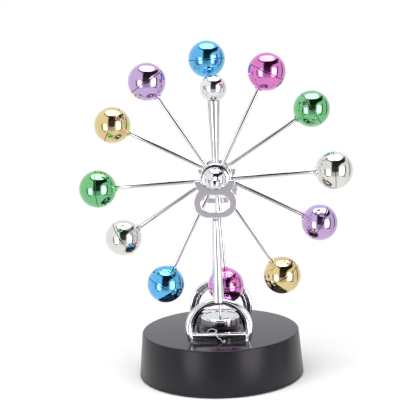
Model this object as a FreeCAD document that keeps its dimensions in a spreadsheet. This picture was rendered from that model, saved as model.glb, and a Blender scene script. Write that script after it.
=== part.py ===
import FreeCAD, Part
import os
import re
import Sketcher

# Ferris wheel desk toy: a wheel of twelve balls on thin arms and a pendulum turn on one axle,
# which two stands carry above a round battery base with a drive coil under its roof.
# Frame: X to the right as seen from the front, Y away from the viewer, Z up, with the origin
# on the table under the middle of the base. Millimetres and degrees.
# Pieces that lie across the axle are drawn in a local frame that FRONTWISE turns upright:
# local x stays across the toy, local y points up, and local z points at the viewer.

SIZES = (
    ("hub_height", 127.7, "axle above the table"),
    ("spin_clearance", 0.05, "radial running clearance of axle and pins"),
    ("glue_gap", 0.02, "radial gap of pressed and glued pieces"),
    ("end_play", 0.2, "axial play between pieces that turn"),
    # wheel
    ("wheel_clearance", 4.8, "lowest ball above the magnet drum"),
    ("ball_radius", 11.6, "outside of a ball"),
    ("ball_wall", 1.0, "thickness of the ball shells"),
    ("ball_seam", 0.15, "bevel on each side of the seam of a ball"),
    ("socket_radius", 2.4, "outside of the arm socket in a ball"),
    ("socket_depth", 6.0, "arm end below the skin of the ball"),
    ("collar_height", 0.5, "socket collar that stands out of the ball"),
    ("row_offset", 12.6, "middle plane to the plane of a row of arms"),
    ("wheel_phase", 3.1, "first arm left of straight up"),
    ("arm_radius", 1.0, "radius of an arm"),
    ("arm_root", 5.4, "axle to the inner end of an arm"),
    ("hub_radius", 9.8, "outside of a hub disc"),
    ("hub_thickness", 3.0, "thickness of a hub disc"),
    ("hub_bevel", 0.5, "bevel of the rim of a hub disc"),
    ("dome_radius", 8.0, "outside of the dome over a hub"),
    ("dome_wall", 1.0, "thickness of a dome"),
    ("axle_radius", 1.0, "radius of the axle"),
    ("cap_radius", 3.0, "radius of an axle end cap"),
    ("cap_height", 2.3, "height of an axle end cap"),
    ("cap_cover", 0.7, "cap thickness beyond the axle end"),
    ("cap_round", 1.9, "rounding of the cap"),
    # ratchet drive
    ("tooth_count", 24, "teeth of the ratchet wheel"),
    ("ratchet_tip", 6.3, "radius over the teeth"),
    ("tooth_depth", 1.0, "depth of a tooth"),
    ("tooth_flank", 13.5, "angle that a sloped flank covers"),
    ("tooth_angle", 84.9, "angle of the steep flank under the pawl"),
    ("ratchet_width", 2.2, "width of the ratchet wheel"),
    ("pawl_pivot_radius", 8.3, "axle to the pawl pin"),
    ("pawl_pivot_angle", 127.0, "angle of the pawl pin"),
    ("pawl_tip_angle", 86.5, "angle of the pawl tip"),
    ("pawl_tip_gap", 0.15, "pawl tip above the teeth when it rides over them"),
    ("pawl_boss_radius", 1.2, "outside of the pawl boss"),
    ("pawl_hook_width", 0.9, "width of the pawl tip"),
    ("pawl_hook_rise", 0.5, "beam underside above the pawl tip"),
    ("pawl_beam", 1.2, "height of the pawl beam at its tip"),
    ("pawl_width", 1.6, "width of the pawl"),
    ("pawl_side_gap", 0.1, "axial gap beside the pawl"),
    ("pin_radius", 0.5, "radius of the pawl pin"),
    # pendulum
    ("collar_radius", 4.6, "outside of the pendulum collar"),
    ("collar_rear", 7.0, "middle plane to the rear end of the collar"),
    ("flange_radius", 9.6, "flange that carries the pawl"),
    ("flange_thickness", 1.2, "thickness of that flange"),
    ("washer_thickness", 0.4, "washer between collar and ratchet"),
    ("spacer_radius", 2.2, "outside of washer and spacer"),
    ("rod_seat", 2.4, "axle to the inner end of a pendulum rod"),
    ("upper_root_radius", 1.8, "upper rod at the collar"),
    ("upper_tip_radius", 3.9, "upper rod at the counterweight ball"),
    ("counter_inset", 17.8, "ball centres to the centre of the counterweight ball"),
    ("counter_radius", 8.4, "radius of the counterweight ball"),
    ("counter_insertion", 4.0, "upper rod inside the counterweight ball"),
    ("lower_rod_radius", 0.7, "radius of the lower rod"),
    ("drum_radius", 12.3, "outside of the magnet drum"),
    ("drum_height", 5.7, "height of the magnet drum"),
    ("drum_floor", 1.0, "floor of the magnet drum"),
    ("drum_wall", 1.6, "wall of the magnet drum"),
    ("drum_round", 1.0, "rounding of the drum rim"),
    ("drum_lift", 3.3, "drum above the roof of the base"),
    ("lid_thickness", 1.0, "lid of the drum"),
    ("lid_recess", 0.4, "lid below the rim of the drum"),
    ("magnet_radius", 9.0, "radius of the magnet"),
    ("magnet_thickness", 2.5, "thickness of the magnet"),
    # stands
    ("stand_offset", 27.4, "middle plane to the middle of a stand"),
    ("stand_depth", 5.0, "depth of a stand"),
    ("loop_half_width", 20.8, "half the width of the loop"),
    ("loop_half_height", 17.6, "half the height of the full ellipse of the loop"),
    ("loop_height", 26.7, "top of the loop above the base"),
    ("loop_round", 0.95, "rounding of the edges of the loop"),
    ("window_radius", 16.7, "radius of the window in the outer face of the loop"),
    ("window_back_radius", 14.6, "radius of the window in the inner face of the loop"),
    ("window_height", 24.1, "top of the window in the outer face above the base"),
    ("bar_gap", 3.2, "underside of the crossbar above the base"),
    ("bar_thickness", 2.05, "height of the crossbar"),
    ("foot_span", 15.4, "middle to the inner side of a stand foot"),
    ("post_foot_radius", 3.6, "post where it leaves the loop"),
    ("post_tip_radius", 2.15, "post at its top"),
    ("stem_length", 2.1, "yoke stem between the post and the ring"),
    ("post_sink", 1.6, "post inside the loop"),
    ("spigot_radius", 1.2, "spigot of the yoke inside the post"),
    ("spigot_length", 8.0, "length of that spigot"),
    ("dowel_radius", 0.5, "pin that locks the yoke"),
    ("dowel_drop", 2.4, "that pin below the top of the post"),
    ("ring_end_radius", 9.2, "ends of the oval ring"),
    ("ring_end_offset", 4.05, "middle to the centre of an end of the ring"),
    ("ring_drop", 11.7, "axle to the middle of the ring"),
    ("ring_hole_drop", 12.4, "axle to the middle of the hole in the ring"),
    ("ring_hole_radius", 5.4, "ends of the hole in the ring"),
    ("ring_hole_offset", 3.1, "middle to the centre of an end of the hole"),
    ("cradle_outer", 13.0, "outer radius of the horns"),
    ("cradle_inner", 10.0, "inner radius of the horns"),
    ("horn_lift", 3.8, "centre of the outer side of the horns above the axle"),
    ("cradle_lift", 6.7, "centre of the inner side of the horns above the axle"),
    ("horn_top", 1.8, "tips of the horns above the axle"),
    ("horn_round", 1.0, "rounding of the corners of the horns"),
    ("yoke_round", 0.5, "rounding of the edges of the yoke"),
    ("boss_radius", 3.4, "outside of the bearing boss"),
    ("boss_length", 6.0, "length of the bearing boss"),
    ("neck_half_width", 2.6, "half the width of the neck under the boss"),
    ("bush_radius", 2.1, "outside of a bearing bush"),
    # base
    ("base_height", 28.9, "roof of the base above the table"),
    ("base_top_radius", 50.3, "base at its roof"),
    ("base_bottom_radius", 52.8, "base at its lower rim"),
    ("base_wall", 2.0, "side wall of the base"),
    ("base_roof", 2.2, "roof of the base"),
    ("base_round", 1.0, "rounding of the upper edge"),
    ("rim_lift", 0.6, "lower rim above the table"),
    ("cover_lift", 1.2, "bottom cover above the table"),
    ("cover_thickness", 2.0, "thickness of the bottom cover"),
    ("cover_gap", 0.5, "bottom cover inside the lower rim"),
    ("foot_radius", 4.0, "radius of a rubber foot"),
    ("foot_recess", 1.0, "recess of a rubber foot"),
    ("foot_inset", 8.0, "lower rim to the middle of a rubber foot"),
    ("foot_angle", 30.0, "angle of a rubber foot"),
    ("screw_inset", 7.4, "lower rim to a cover screw"),
    ("pillar_radius", 3.5, "radius of a screw pillar"),
    ("screw_radius", 1.1, "radius of a screw"),
    ("screw_head_radius", 2.0, "radius of a screw head"),
    ("screw_head_height", 1.0, "height of a screw head"),
    ("screw_depth", 9.0, "screw inside its pillar"),
    ("stand_screw_radius", 0.8, "radius of a stand screw"),
    ("stand_screw_depth", 6.0, "stand screw inside the stand"),
    ("stand_head_radius", 1.6, "radius of a stand screw head"),
    ("stand_screw_inset", 2.0, "inner side of a stand foot to its screw"),
    ("pilot_extra", 1.0, "screw holes beyond the tips of the screws"),
    # batteries
    ("cell_radius", 7.1, "radius of a battery cell"),
    ("cell_length", 49.0, "length of a cell without its nub"),
    ("nub_radius", 2.7, "radius of the nub"),
    ("nub_height", 1.5, "height of the nub"),
    ("cell_pitch", 14.7, "spacing of the cells"),
    ("cell_lift", 0.5, "cells above the door"),
    ("contact_space", 2.6, "space for a contact at each end of the cells"),
    ("contact_sheet", 0.4, "thickness of a contact"),
    ("contact_width", 9.0, "width of a contact"),
    ("contact_half_height", 4.0, "half the height of a contact"),
    ("tray_wall", 1.5, "wall and ceiling of the battery tray"),
    ("tray_gap", 0.5, "room between the cells and the tray"),
    ("door_gap", 0.3, "gap around the battery door"),
    ("tab_width", 6.0, "width of a door tab"),
    ("tab_spread", 16.0, "middle to a door tab"),
    ("tab_reach", 2.0, "door tab behind the edge of the bottom cover"),
    ("tab_thickness", 1.2, "thickness of a door tab"),
    ("tab_swing_room", 1.2, "room above a door tab for its swing"),
    ("thumb_radius", 7.0, "radius of the thumb recess"),
    ("thumb_depth", 0.8, "depth of the thumb recess"),
    # drive coil and circuit
    ("bobbin_radius", 15.0, "flanges of the coil bobbin"),
    ("bobbin_bore", 4.0, "bore of the coil bobbin"),
    ("coil_clearance", 1.4, "coil above the battery tray"),
    ("bobbin_wall", 1.0, "wall of the coil bobbin"),
    ("winding_inset", 1.0, "winding inside the edge of the flanges"),
    ("coil_ring_wall", 1.2, "wall of the locating ring of the coil"),
    ("coil_ring_height", 2.0, "height of that ring"),
    ("board_x", -24.0, "middle of the circuit board"),
    ("board_width", 13.0, "circuit board across"),
    ("board_length", 28.0, "circuit board front to back"),
    ("board_thickness", 1.2, "thickness of the circuit board"),
    ("part_clearance", 2.4, "transistor and capacitor below the roof"),
    ("transistor_radius", 2.2, "radius of the transistor"),
    ("capacitor_radius", 1.9, "radius of the capacitor"),
    ("resistor_radius", 0.8, "radius of the resistor"),
    ("resistor_length", 6.5, "length of the resistor"),
    ("part_spacing", 7.0, "resistor to the transistor and to the capacitor"),
    ("lead_radius", 0.3, "radius of a lead wire"),
    ("lead_landing", 4.0, "battery lead on the board"),
    ("lead_spread", 2.0, "spacing of the battery leads, and middle to a coil lead"),
)

BALLS = 12
CELLS = 4
AXIS_Y = FreeCAD.Vector(0, 1, 0)
AXIS_Z = FreeCAD.Vector(0, 0, 1)
UPRIGHT = FreeCAD.Rotation()
FRONTWISE = FreeCAD.Rotation(FreeCAD.Vector(1, 0, 0), 90)
LOCAL_UP = FreeCAD.Rotation(FreeCAD.Vector(1, 0, 0), -90)
DOWNWARD = FreeCAD.Rotation(FreeCAD.Vector(1, 0, 0), 180)
HALF_TURN = FreeCAD.Rotation(AXIS_Z, 180)
SIDEWISE = FreeCAD.Rotation(AXIS_Y, 90)
WAYS = {"+z": UPRIGHT, "-z": DOWNWARD, "-x": FreeCAD.Rotation(AXIS_Y, -90), "-y": FRONTWISE}

doc = FreeCAD.newDocument("FerrisWheelToy")
sheet = doc.addObject("Spreadsheet::Sheet", "Sizes")
nodes = {}


def fill_sheet():
    """Write each driving size, its alias and its meaning into the sheet."""
    for row, (alias, size, meaning) in enumerate(SIZES, start=1):
        sheet.set("A%d" % row, alias)
        sheet.set("B%d" % row, str(size))
        sheet.set("C%d" % row, meaning)
        sheet.setAlias("B%d" % row, alias)
    doc.recompute()


def scoped(formula):
    """Point each size name in a formula at its cell of the sheet."""
    return re.sub(r"[a-z]+(?:_[a-z]+)+", lambda word: "Sizes." + word.group(), formula)


def number(formula):
    """Work a formula out now, in millimetres."""
    return float(sheet.evalExpression(scoped(formula)))


def bind(thing, path, formula):
    """Drive a property from the sheet."""
    thing.setExpression(path, scoped(formula))


def place(thing, x="0", y="0", z="0", turn=UPRIGHT):
    """Turn an object and drive its position."""
    thing.Placement = FreeCAD.Placement(FreeCAD.Vector(), turn)
    for axis, formula in (("x", x), ("y", y), ("z", z)):
        if formula != "0":
            bind(thing, "Placement.Base." + axis, formula)
    return thing


def keep(thing, node):
    """Hand an object in as a sub-part under its node name."""
    thing.Label = node
    nodes[node] = thing
    return thing


def cylinder(name, radius, height, x="0", y="0", z="0", turn=UPRIGHT):
    solid = doc.addObject("Part::Cylinder", name)
    bind(solid, "Radius", radius)
    bind(solid, "Height", height)
    return place(solid, x, y, z, turn)


def cone(name, lower, upper, height, x="0", y="0", z="0", turn=UPRIGHT):
    solid = doc.addObject("Part::Cone", name)
    bind(solid, "Radius1", lower)
    bind(solid, "Radius2", upper)
    bind(solid, "Height", height)
    return place(solid, x, y, z, turn)


def box(name, x_span, y_span, z_span, turn=UPRIGHT):
    """A box between two formulas on each axis."""
    solid = doc.addObject("Part::Box", name)
    for side, (low, high) in zip(("Length", "Width", "Height"), (x_span, y_span, z_span)):
        bind(solid, side, "(%s) - (%s)" % (high, low))
    return place(solid, x_span[0], y_span[0], z_span[0], turn)


def sphere(name, radius, x="0", y="0", z="0", turn=UPRIGHT, low="-90", high="90"):
    solid = doc.addObject("Part::Sphere", name)
    bind(solid, "Radius", radius)
    bind(solid, "Angle1", low)
    bind(solid, "Angle2", high)
    return place(solid, x, y, z, turn)


def group(name, members):
    """Several solids as one object, each still a solid of its own."""
    compound = doc.addObject("Part::Compound", name)
    compound.Links = members
    return compound


def fuse(name, members):
    joined = doc.addObject("Part::MultiFuse", name)
    joined.Shapes = members
    joined.Refine = True
    return joined


def cut(name, base, tools):
    """Cut one or more tools out of a base."""
    difference = doc.addObject("Part::Cut", name)
    difference.Base = base
    difference.Tool = tools[0] if len(tools) == 1 else fuse(name + "_tools", tools)
    return difference


def common(name, base, tool):
    shared = doc.addObject("Part::Common", name)
    shared.Base = base
    shared.Tool = tool
    return shared


def rounded(name, base, radius, wanted):
    """Round the edges of a Part object for which wanted(edge) is true."""
    doc.recompute()
    size = number(radius)
    fillet = doc.addObject("Part::Fillet", name)
    fillet.Base = base
    fillet.Edges = [
        (index, size, size) for index, edge in enumerate(base.Shape.Edges, start=1) if wanted(edge)
    ]
    return fillet


def new_body(name):
    return doc.addObject("PartDesign::Body", name)


def sketch_on(body, name, role, lift="0"):
    """Start a sketch on an origin plane of a body, lifted along the normal of the plane."""
    sketch = body.newObject("Sketcher::SketchObject", name)
    plane = next(feature for feature in body.Origin.OriginFeatures if feature.Role == role)
    sketch.AttachmentSupport = (plane, [""])
    sketch.MapMode = "FlatFace"
    if lift != "0":
        bind(sketch, "AttachmentOffset.Base.z", lift)
    return sketch


def pin_point(sketch, geometry, point, x, y):
    """Fix a point of a sketch at two formulas."""
    for kind, axis, formula in (("DistanceX", -2, x), ("DistanceY", -1, y)):
        if formula == "0":
            sketch.addConstraint(Sketcher.Constraint("PointOnObject", geometry, point, axis))
        else:
            index = sketch.addConstraint(Sketcher.Constraint(kind, geometry, point, number(formula)))
            bind(sketch, "Constraints[%d]" % index, formula)


def draw_outline(sketch, corners):
    """Draw a closed outline of straight lines through corners given as formulas."""
    places = [
        FreeCAD.Vector(*(0.0 if formula == "0" else number(formula) for formula in corner), 0.0)
        for corner in corners
    ]
    count = len(corners)
    for index in range(count):
        sketch.addGeometry(Part.LineSegment(places[index], places[(index + 1) % count]))
    for index in range(count):
        sketch.addConstraint(Sketcher.Constraint("Coincident", index, 2, (index + 1) % count, 1))
    for index, (x, y) in enumerate(corners):
        pin_point(sketch, index, 1, x, y)


def draw_circle(sketch, radius, x="0", y="0"):
    """Draw a circle whose centre and radius are formulas."""
    centre = FreeCAD.Vector(*(0.0 if formula == "0" else number(formula) for formula in (x, y)), 0.0)
    index = sketch.addGeometry(Part.Circle(centre, AXIS_Z, number(radius)))
    pin_point(sketch, index, 3, x, y)
    driven = sketch.addConstraint(Sketcher.Constraint("Radius", index, number(radius)))
    bind(sketch, "Constraints[%d]" % driven, radius)


def draw_rectangle(sketch, x_span, y_span):
    draw_outline(
        sketch,
        (
            (x_span[0], y_span[0]),
            (x_span[1], y_span[0]),
            (x_span[1], y_span[1]),
            (x_span[0], y_span[1]),
        ),
    )


def revolve(body, name, corners):
    """Turn an outline of radius and height about the body's Z axis."""
    sketch = sketch_on(body, name + "_sketch", "XZ_Plane")
    draw_outline(sketch, corners)
    feature = body.newObject("PartDesign::Revolution", name)
    feature.Profile = sketch
    feature.ReferenceAxis = (sketch, ["V_Axis"])
    feature.Angle = 360
    return feature


def pad(body, name, sketch, length):
    """Add a sketch upwards by a length."""
    feature = body.newObject("PartDesign::Pad", name)
    feature.Profile = sketch
    bind(feature, "Length", length)
    return feature


def pocket(body, name, sketch, length):
    """Cut a sketch upwards by a length."""
    feature = body.newObject("PartDesign::Pocket", name)
    feature.Profile = sketch
    feature.Reversed = True
    bind(feature, "Length", length)
    return feature


def repeat_round(body, name, features, sketch, count):
    """Repeat features of a body about the normal of a sketch."""
    pattern = body.newObject("PartDesign::PolarPattern", name)
    pattern.Originals = features
    pattern.Axis = (sketch, ["N_Axis"])
    pattern.Angle = 360
    pattern.Occurrences = count
    body.Tip = pattern
    return pattern


def round_body(body, name, radius, wanted):
    """Round the edges of a body for which wanted(edge) is true."""
    doc.recompute()
    base = body.Tip
    names = ["Edge%d" % index for index, edge in enumerate(base.Shape.Edges, start=1) if wanted(edge)]
    fillet = body.newObject("PartDesign::Fillet", name)
    fillet.Base = (base, names)
    bind(fillet, "Radius", radius)
    return fillet


def circle_test(radius, height):
    """Test for a circular edge of this radius at this height."""
    wanted_radius = number(radius)
    wanted_height = number(height)

    def test(edge):
        if edge.Degenerated or not isinstance(edge.Curve, Part.Circle):
            return False
        near = abs(edge.Curve.Radius - wanted_radius) < 0.01
        return near and abs(edge.Curve.Center.z - wanted_height) < 0.01

    return test


def face_edge_test(height, shortest="0"):
    """Test for a longer edge in one of the two faces at plus and minus a local height."""
    level = number(height)
    length = 0.0 if shortest == "0" else number(shortest)

    def test(edge):
        reach = edge.BoundBox
        flat = reach.ZLength < 0.001 and abs(abs(reach.ZMin) - level) < 0.001
        return flat and edge.Length > length

    return test


def corner_test(lowest):
    """Test for an edge that runs along local z and lies above a local y."""
    level = number(lowest)

    def test(edge):
        reach = edge.BoundBox
        return reach.XLength < 0.001 and reach.YLength < 0.001 and reach.YMin > level

    return test


# Derived places that several pieces share
HUB_INNER = "(row_offset - hub_thickness / 2)"
RATCHET_INNER = "(%s - ratchet_width)" % HUB_INNER
COLLAR_FRONT = "(%s - washer_thickness - end_play)" % RATCHET_INNER
BOSS_END = "(stand_offset + boss_length / 2)"
AXLE_END = "(%s + end_play + cap_height - cap_cover)" % BOSS_END
DRUM_BOTTOM = "(base_height + drum_lift)"
LID_TOP = "(%s + drum_height - lid_recess)" % DRUM_BOTTOM
ROOF_UNDER = "(base_height - base_roof)"
COVER_TOP = "(cover_lift + cover_thickness)"
CELL_AXIS = "(%s + cell_lift + cell_radius)" % COVER_TOP
BAY_X = "(%d / 2 * cell_pitch + tray_gap)" % CELLS
BAY_Y = "((cell_length + nub_height) / 2 + contact_space)"
BAY_TOP = "(%s + cell_radius + tray_gap)" % CELL_AXIS
TRAY_TOP = "(%s + tray_wall)" % BAY_TOP
BOARD_TOP = "(%s + board_thickness)" % TRAY_TOP
BOBBIN_HEIGHT = "(%s - %s - coil_clearance)" % (ROOF_UNDER, TRAY_TOP)
PART_HEIGHT = "(%s - %s - part_clearance)" % (ROOF_UNDER, BOARD_TOP)
BALL_CIRCLE = (
    "(hub_height - %s - drum_height - wheel_clearance - ball_radius)" % DRUM_BOTTOM
)
COUNTER_CIRCLE = "(%s - counter_inset)" % BALL_CIRCLE
FOOT_MIDDLE = "(foot_span + stand_screw_inset)"
POST_TOP = "(hub_height - ring_drop - ring_end_radius - stem_length)"
LOOP_TOP = "(base_height + loop_height)"
WINDOW_TOP = "(base_height + window_height)"
BAR_BOTTOM = "(base_height + bar_gap)"
BAR_TOP = "(%s + bar_thickness)" % BAR_BOTTOM
FOOT_CIRCLE = "(base_bottom_radius - foot_inset)"
SCREW_CIRCLE = "(base_bottom_radius - screw_inset)"
PIVOT_U = "(pawl_pivot_radius * cos(pawl_pivot_angle))"
PIVOT_V = "(pawl_pivot_radius * sin(pawl_pivot_angle))"
TIP_U = "((ratchet_tip + pawl_tip_gap) * cos(pawl_tip_angle))"
TIP_V = "((ratchet_tip + pawl_tip_gap) * sin(pawl_tip_angle))"


def make_base_shell():
    """The round housing: a tapered cup, open below, with screw pillars and a coil ring."""
    body = new_body("base_shell")
    revolve(
        body,
        "shell_wall",
        (
            ("0", "base_height"),
            ("base_top_radius", "base_height"),
            ("base_bottom_radius", "rim_lift"),
            ("base_bottom_radius - base_wall", "rim_lift"),
            ("base_top_radius - base_wall", ROOF_UNDER),
            ("0", ROOF_UNDER),
        ),
    )
    round_body(body, "upper_edge", "base_round", circle_test("base_top_radius", "base_height"))
    pillar_sketch = sketch_on(body, "pillar_sketch", "XY_Plane", COVER_TOP)
    draw_circle(pillar_sketch, "pillar_radius", SCREW_CIRCLE)
    pillar = pad(body, "pillar", pillar_sketch, "base_height - base_roof / 2 - %s" % COVER_TOP)
    pilot_sketch = sketch_on(body, "pilot_sketch", "XY_Plane", COVER_TOP)
    draw_circle(pilot_sketch, "screw_radius + glue_gap", SCREW_CIRCLE)
    pilot = pocket(body, "pilot", pilot_sketch, "screw_depth + pilot_extra")
    repeat_round(body, "pillars", [pillar, pilot], pillar_sketch, 4)
    ring_sketch = sketch_on(body, "ring_sketch", "XY_Plane", "%s - coil_ring_height" % ROOF_UNDER)
    draw_circle(ring_sketch, "bobbin_radius + glue_gap + coil_ring_wall")
    draw_circle(ring_sketch, "bobbin_radius + glue_gap")
    pad(body, "coil_ring", ring_sketch, "coil_ring_height + base_roof / 2")
    for index, (side, end) in enumerate(((-1, -1), (1, -1), (-1, 1), (1, 1)), start=1):
        hole_sketch = sketch_on(body, "stand_hole_sketch_%d" % index, "XY_Plane", ROOF_UNDER)
        draw_circle(
            hole_sketch,
            "stand_screw_radius + glue_gap",
            "%d * %s" % (side, FOOT_MIDDLE),
            "%d * stand_offset" % end,
        )
        pocket(body, "stand_hole_%d" % index, hole_sketch, "2 * base_roof")
    return keep(body, "base_shell")


def make_bottom_cover():
    """The round bottom plate with the battery tray, screw holes and recesses for the feet."""
    body = new_body("bottom_cover")
    plate_sketch = sketch_on(body, "plate_sketch", "XY_Plane", "cover_lift")
    draw_circle(plate_sketch, "base_bottom_radius - base_wall - cover_gap")
    pad(body, "plate", plate_sketch, "cover_thickness")
    tray_sketch = sketch_on(body, "tray_sketch", "XY_Plane", COVER_TOP)
    outer_x = "(%s + tray_wall)" % BAY_X
    outer_y = "(%s + tray_wall)" % BAY_Y
    draw_rectangle(tray_sketch, ("-" + outer_x, outer_x), ("-" + outer_y, outer_y))
    pad(body, "tray", tray_sketch, "%s - %s" % (TRAY_TOP, COVER_TOP))
    bay_sketch = sketch_on(body, "bay_sketch", "XY_Plane", "cover_lift")
    draw_rectangle(bay_sketch, ("-" + BAY_X, BAY_X), ("-" + BAY_Y, BAY_Y))
    pocket(body, "bay", bay_sketch, "%s - cover_lift" % BAY_TOP)
    for side, name in ((-1, "left"), (1, "right")):
        slot_sketch = sketch_on(body, name + "_tab_slot_sketch", "XY_Plane", COVER_TOP)
        middle = "%d * tab_spread" % side
        half = "(tab_width / 2 + door_gap)"
        draw_rectangle(
            slot_sketch,
            ("%s - %s" % (middle, half), "%s + %s" % (middle, half)),
            ("-(%s + 2 * tray_wall)" % BAY_Y, "-(%s - tray_wall)" % BAY_Y),
        )
        pocket(body, name + "_tab_slot", slot_sketch, "door_gap + tab_thickness + tab_swing_room")
    screw_sketch = sketch_on(body, "screw_sketch", "XY_Plane", "cover_lift")
    draw_circle(screw_sketch, "screw_radius + glue_gap", SCREW_CIRCLE)
    screw_hole = pocket(body, "screw_hole", screw_sketch, "cover_thickness")
    head_sketch = sketch_on(body, "head_sketch", "XY_Plane", "cover_lift")
    draw_circle(head_sketch, "screw_head_radius + door_gap", SCREW_CIRCLE)
    head_hole = pocket(body, "head_hole", head_sketch, "screw_head_height")
    repeat_round(body, "screw_holes", [screw_hole, head_hole], screw_sketch, 4)
    for index, (side, end) in enumerate(((-1, -1), (1, -1), (-1, 1), (1, 1)), start=1):
        foot_sketch = sketch_on(body, "foot_sketch_%d" % index, "XY_Plane", "cover_lift")
        draw_circle(
            foot_sketch,
            "foot_radius + glue_gap",
            "%d * %s * cos(foot_angle)" % (side, FOOT_CIRCLE),
            "%d * %s * sin(foot_angle)" % (end, FOOT_CIRCLE),
        )
        pocket(body, "foot_recess_%d" % index, foot_sketch, "foot_recess")
    for side, name in ((-1, "left"), (1, "right")):
        lead_sketch = sketch_on(body, name + "_lead_hole_sketch", "XY_Plane", BAY_TOP)
        middle = "%d * 1.5 * cell_pitch" % side
        draw_circle(lead_sketch, "lead_radius + glue_gap", middle, "%s - lead_radius" % BAY_Y)
        pocket(body, name + "_lead_hole", lead_sketch, "tray_wall")
    return keep(body, "bottom_cover")


def make_battery_door():
    """The battery door: a plate with two hooked tabs on its front edge and a thumb recess."""
    body = new_body("battery_door")
    half_x = "(%s - door_gap)" % BAY_X
    half_y = "(%s - door_gap)" % BAY_Y
    plate_sketch = sketch_on(body, "door_sketch", "XY_Plane", "cover_lift")
    draw_rectangle(plate_sketch, ("-" + half_x, half_x), ("-" + half_y, half_y))
    pad(body, "door_plate", plate_sketch, "cover_thickness")
    for side, name in ((-1, "left"), (1, "right")):
        low = "(%d * tab_spread - tab_width / 2)" % side
        high = "(%d * tab_spread + tab_width / 2)" % side
        riser_sketch = sketch_on(body, name + "_riser_sketch", "XY_Plane", COVER_TOP)
        draw_rectangle(riser_sketch, (low, high), ("-" + half_y, "-(%s - tab_thickness)" % half_y))
        pad(body, name + "_riser", riser_sketch, "door_gap + tab_thickness")
        tab_sketch = sketch_on(body, name + "_tab_sketch", "XY_Plane", "%s + door_gap" % COVER_TOP)
        draw_rectangle(
            tab_sketch,
            (low, high),
            ("-(%s + tab_reach)" % BAY_Y, "-(%s - tab_thickness)" % half_y),
        )
        pad(body, name + "_tab", tab_sketch, "tab_thickness")
    thumb_sketch = sketch_on(body, "thumb_sketch", "XY_Plane", "cover_lift")
    draw_circle(thumb_sketch, "thumb_radius", "0", "%s - thumb_radius - tray_wall" % half_y)
    pocket(body, "thumb_recess", thumb_sketch, "thumb_depth")
    return keep(body, "battery_door")


def make_cells():
    """Four cells side by side, with their nubs at alternate ends."""
    cells = []
    for index in range(CELLS):
        x = "%g * cell_pitch" % (index - (CELLS - 1) / 2)
        facing = 1 if index % 2 else -1
        can_turn = LOCAL_UP if facing == 1 else FRONTWISE
        start = "%d * (cell_length + nub_height) / 2" % -facing
        can = cylinder("cell_can_%d" % index, "cell_radius", "cell_length", x, start, CELL_AXIS, can_turn)
        nub_start = "%d * (cell_length - nub_height) / 2" % facing
        nub = cylinder(
            "cell_nub_%d" % index, "nub_radius", "nub_height", x, nub_start, CELL_AXIS, can_turn
        )
        cells.append(fuse("cell_%d" % index, [can, nub]))
    return keep(group("battery_cells", cells), "battery_cells")


def make_contacts():
    """Leaf contacts at both ends of the cells: a strip with a bowed middle that touches a cell."""
    leaves = []
    layout = (
        (-1, -1.0, 1),
        (-1, 1.0, 1),
        (1, 0.0, 1),
        (1, -1.5, 0),
        (1, 1.5, 0),
    )
    for index, (end, place_in_pitches, joins_two) in enumerate(layout):
        body = new_body("contact_%d" % index)
        sketch = sketch_on(body, "contact_sketch_%d" % index, "YZ_Plane")
        back = "%d * %s" % (end, BAY_Y)
        inner_back = "%d * (%s - contact_sheet)" % (end, BAY_Y)
        crest = "%d * (cell_length + nub_height) / 2" % end
        inner_crest = "%d * ((cell_length + nub_height) / 2 + contact_sheet)" % end
        low = "%s - contact_half_height" % CELL_AXIS
        high = "%s + contact_half_height" % CELL_AXIS
        draw_outline(
            sketch,
            (
                (back, low),
                (back, high),
                (inner_back, high),
                (crest, "%s + contact_sheet" % CELL_AXIS),
                (crest, "%s - contact_sheet" % CELL_AXIS),
                (inner_crest, "%s - contact_sheet" % CELL_AXIS),
                (inner_crest, "%s + contact_sheet / 2" % CELL_AXIS),
                (inner_back, "%s + contact_half_height - contact_sheet" % CELL_AXIS),
                (inner_back, low),
            ),
        )
        width = "contact_width + %d * cell_pitch" % joins_two
        strip = pad(body, "contact_strip_%d" % index, sketch, width)
        strip.SideType = "Symmetric"
        place(body, "%g * cell_pitch" % place_in_pitches)
        leaves.append(body)
    return keep(group("battery_contacts", leaves), "battery_contacts")


def make_coil():
    """The drive coil under the roof: a flanged bobbin and its winding."""
    bottom = "(%s - %s)" % (ROOF_UNDER, BOBBIN_HEIGHT)
    bobbin = new_body("coil_bobbin")
    revolve(
        bobbin,
        "bobbin_profile",
        (
            ("bobbin_bore", bottom),
            ("bobbin_radius", bottom),
            ("bobbin_radius", "%s + bobbin_wall" % bottom),
            ("bobbin_bore + bobbin_wall", "%s + bobbin_wall" % bottom),
            ("bobbin_bore + bobbin_wall", "%s - bobbin_wall" % ROOF_UNDER),
            ("bobbin_radius", "%s - bobbin_wall" % ROOF_UNDER),
            ("bobbin_radius", ROOF_UNDER),
            ("bobbin_bore", ROOF_UNDER),
        ),
    )
    keep(bobbin, "coil_bobbin")
    winding = new_body("coil_winding")
    revolve(
        winding,
        "winding_profile",
        (
            ("bobbin_bore + bobbin_wall", "%s + bobbin_wall" % bottom),
            ("bobbin_radius - winding_inset", "%s + bobbin_wall" % bottom),
            ("bobbin_radius - winding_inset", "%s - bobbin_wall" % ROOF_UNDER),
            ("bobbin_bore + bobbin_wall", "%s - bobbin_wall" % ROOF_UNDER),
        ),
    )
    keep(winding, "coil_winding")


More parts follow.
